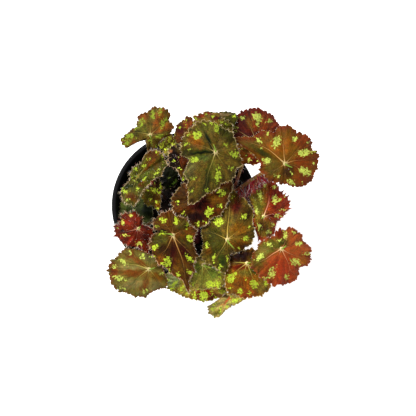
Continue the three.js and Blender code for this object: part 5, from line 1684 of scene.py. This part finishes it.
def make_pot():
    pot = mesh_object("nursery_pot", [lathe(pot_profile(), POT_SIDES)], [pot_material()])
    cutters = []
    for i in range(DRAIN_HOLES):
        turn = (i + 0.5) * 2 * math.pi / DRAIN_HOLES
        place = (DRAIN_CIRCLE * MM * math.cos(turn), DRAIN_CIRCLE * MM * math.sin(turn), 0)
        bpy.ops.mesh.primitive_cylinder_add(
            vertices=DRAIN_SIDES, radius=DRAIN_RADIUS * MM, depth=4 * FLOOR * MM, location=place)
        cutters.append(bpy.context.object)
    for cutter in cutters:
        cut = pot.modifiers.new("drain", "BOOLEAN")
        cut.operation = "DIFFERENCE"
        cut.solver = "EXACT"
        cut.object = cutter
    finished = pot.evaluated_get(bpy.context.evaluated_depsgraph_get())
    pot.data = bpy.data.meshes.new_from_object(finished)
    pot.modifiers.clear()
    for cutter in cutters:
        bpy.data.objects.remove(cutter)
    pot.data.shade_smooth()
    pot.data.set_sharp_from_angle(angle=SHARP_EDGE)
    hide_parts("pot")


def soil_height(x, y):
    """Height of the uneven soil: a low mound with ripples."""
    r = np.hypot(x, y)
    z = SOIL_TOP + SOIL_MOUND * np.clip(1 - (r / SOIL_MOUND_RADIUS) ** 2, 0, 1)
    for height, seed, scale in SOIL_RIPPLES:
        z = z + height * mottle(x, y, seed, scale)
    return z


def pebble(rng, size):
    """A small angular lump."""
    gold = (1 + 5 ** 0.5) / 2
    corners = np.array([
        (-1, gold, 0), (1, gold, 0), (-1, -gold, 0), (1, -gold, 0), (0, -1, gold),
        (0, 1, gold), (0, -1, -gold), (0, 1, -gold), (gold, 0, -1), (gold, 0, 1),
        (-gold, 0, -1), (-gold, 0, 1),
    ]) / 1.9
    faces = np.array([
        (0, 11, 5), (0, 5, 1), (0, 1, 7), (0, 7, 10), (0, 10, 11), (1, 5, 9), (5, 11, 4),
        (11, 10, 2), (10, 7, 6), (7, 1, 8), (3, 9, 4), (3, 4, 2), (3, 2, 6), (3, 6, 8),
        (3, 8, 9), (4, 9, 5), (2, 4, 11), (6, 2, 10), (8, 6, 7), (9, 8, 1),
    ])
    spin = np.linalg.qr(rng.normal(size=(3, 3)))[0]
    if np.linalg.det(spin) < 0:
        spin[:, 0] *= -1
    stretched = corners * rng.uniform(0.6, 1.3, (12, 1)) * rng.uniform(0.5, 1.2, 3)
    return stretched @ spin * size, faces


def make_soil():
    turns = circle(SOIL_SIDES)
    inner = wall_radius(SOIL_TOP) - WALL - SOIL_GAP
    radii = np.linspace(inner, SOIL_EYE, SOIL_RINGS)
    x = (radii[:, None] * np.cos(turns)).ravel()
    y = (radii[:, None] * np.sin(turns)).ravel()
    top = np.stack([x, y, soil_height(x, y)], 1)
    bevel = FLOOR + SOIL_FLOOR_GAP + SOIL_BEVEL
    low = wall_radius(bevel) - WALL - SOIL_FLOOR_GAP
    base = np.stack([low * np.cos(turns), low * np.sin(turns), np.full(SOIL_SIDES, bevel)], 1)
    foot = base * [SOIL_BEVEL_SHARE, SOIL_BEVEL_SHARE, 1] - [0, 0, SOIL_BEVEL]
    last = (SOIL_RINGS + 1) * SOIL_SIDES
    faces = [ring_faces(SOIL_RINGS + 2, SOIL_SIDES), np.arange(SOIL_SIDES)[::-1][None],
             np.arange(last, last + SOIL_SIDES)[None]]
    body = part_of(np.vstack([foot, base, top]), faces)
    soil = mesh_object("potting_soil", [body], [soil_material()])
    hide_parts("soil")
    make_crumbs(inner)


def make_crumbs(inner):
    """Loose peat, bark and perlite, sunk a little into the soil."""
    rng = np.random.default_rng(SOIL_SEED)
    parts = []
    for kind, (share, least, most) in CRUMBS.items():
        for _ in range(int(CRUMB_COUNT * share)):
            r = inner * math.sqrt(rng.uniform(0, CRUMB_AREA))
            turn = rng.uniform(0, 2 * math.pi)
            x, y = r * math.cos(turn), r * math.sin(turn)
            size = rng.uniform(least, most)
            points, faces = pebble(rng, size)
            points = points + [x, y, float(soil_height(x, y)) + size * CRUMB_LIFT]
            parts.append(part_of(points, [faces], linear(kind, rng.uniform(*CRUMB_LIGHT))))
    crumb = tinted_material("soil_crumb", 0.9, 0.1, scale=1200, amount=0.3, rise=0.0004)
    mesh_object("soil_crumbs", parts, [crumb])


def make_rhizomes():
    skin = tinted_material("rhizome_skin", 0.8, 0.15, scale=700, amount=0.35, rise=0.0005)
    for name, (radius, tone, line) in RHIZOMES.items():
        middle = (len(line) - 1) / 2
        points = [(x, y, RHIZOME_HEIGHT - abs(i - middle)) for i, (x, y) in enumerate(line)]
        run = np.linspace(0, 1, RHIZOME_STEPS)
        axis = curve_points(points, run)
        swell = 0.72 + 0.28 * np.sqrt(np.sin(np.pi * run).clip(0))
        scars = np.abs(np.sin(run * 40))
        radii = radius * (swell + 0.06 * np.sin(23 * run) - 0.05 * scars)
        points, faces = tube(axis, radii, RHIZOME_SIDES)
        colour = np.repeat(linear(tone) * (0.75 + 0.5 * scars)[:, None], RHIZOME_SIDES, 0)
        root = mesh_object(f"{name}_skin", [part_of(points, faces, colour)], [skin])
        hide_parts(name)


# Studio

def hang_camera(scene):
    """The photo's camera, straight overhead."""
    camera = bpy.data.cameras.new("overhead")
    camera.lens = LENS
    camera.sensor_width = SENSOR
    camera.clip_end = CAMERA_CLIP
    rig = bpy.data.objects.new("overhead", camera)
    rig.location = (CAMERA_X * MM, CAMERA_Y * MM, CAMERA_HEIGHT * MM)
    scene.collection.objects.link(rig)
    scene.camera = rig


def light_scene(scene):
    """An even sky, and softboxes that point at the plant."""
    world = bpy.data.worlds.new("studio")
    world.use_nodes = True
    sky = world.node_tree.nodes["Background"]
    sky.inputs["Color"].default_value = (1, 1, 1, 1)
    sky.inputs["Strength"].default_value = SKY
    scene.world = world
    for place, size, energy in SOFTBOXES:
        light = bpy.data.lights.new("softbox", "AREA")
        light.size = size
        light.energy = energy
        lamp = bpy.data.objects.new("softbox", light)
        lamp.location = place
        x, y, z = np.array(LIGHT_TARGET) - place
        lamp.rotation_euler = (
            math.atan2(math.hypot(x, y), -z), 0, math.atan2(y, x) - math.pi / 2)
        scene.collection.objects.link(lamp)


def lay_floor():
    bpy.ops.mesh.primitive_plane_add(size=FLOOR_SIZE, location=(0, 0, FLOOR_LEVEL))
    floor = bpy.context.object
    floor.name = "floor"
    white = Shader("floor", 0.9, 0.0)
    white.inputs["Base Color"].default_value = FLOOR_COLOUR
    white.inputs["Emission Color"].default_value = (1, 1, 1, 1)
    white.inputs["Emission Strength"].default_value = FLOOR_GLOW
    floor.data.materials.append(white.material)


def make_studio():
    scene = bpy.context.scene
    scene.view_settings.view_transform = "Standard"
    hang_camera(scene)
    light_scene(scene)
    lay_floor()


make_studio()
make_pot()
make_soil()
make_rhizomes()
make_leaves()
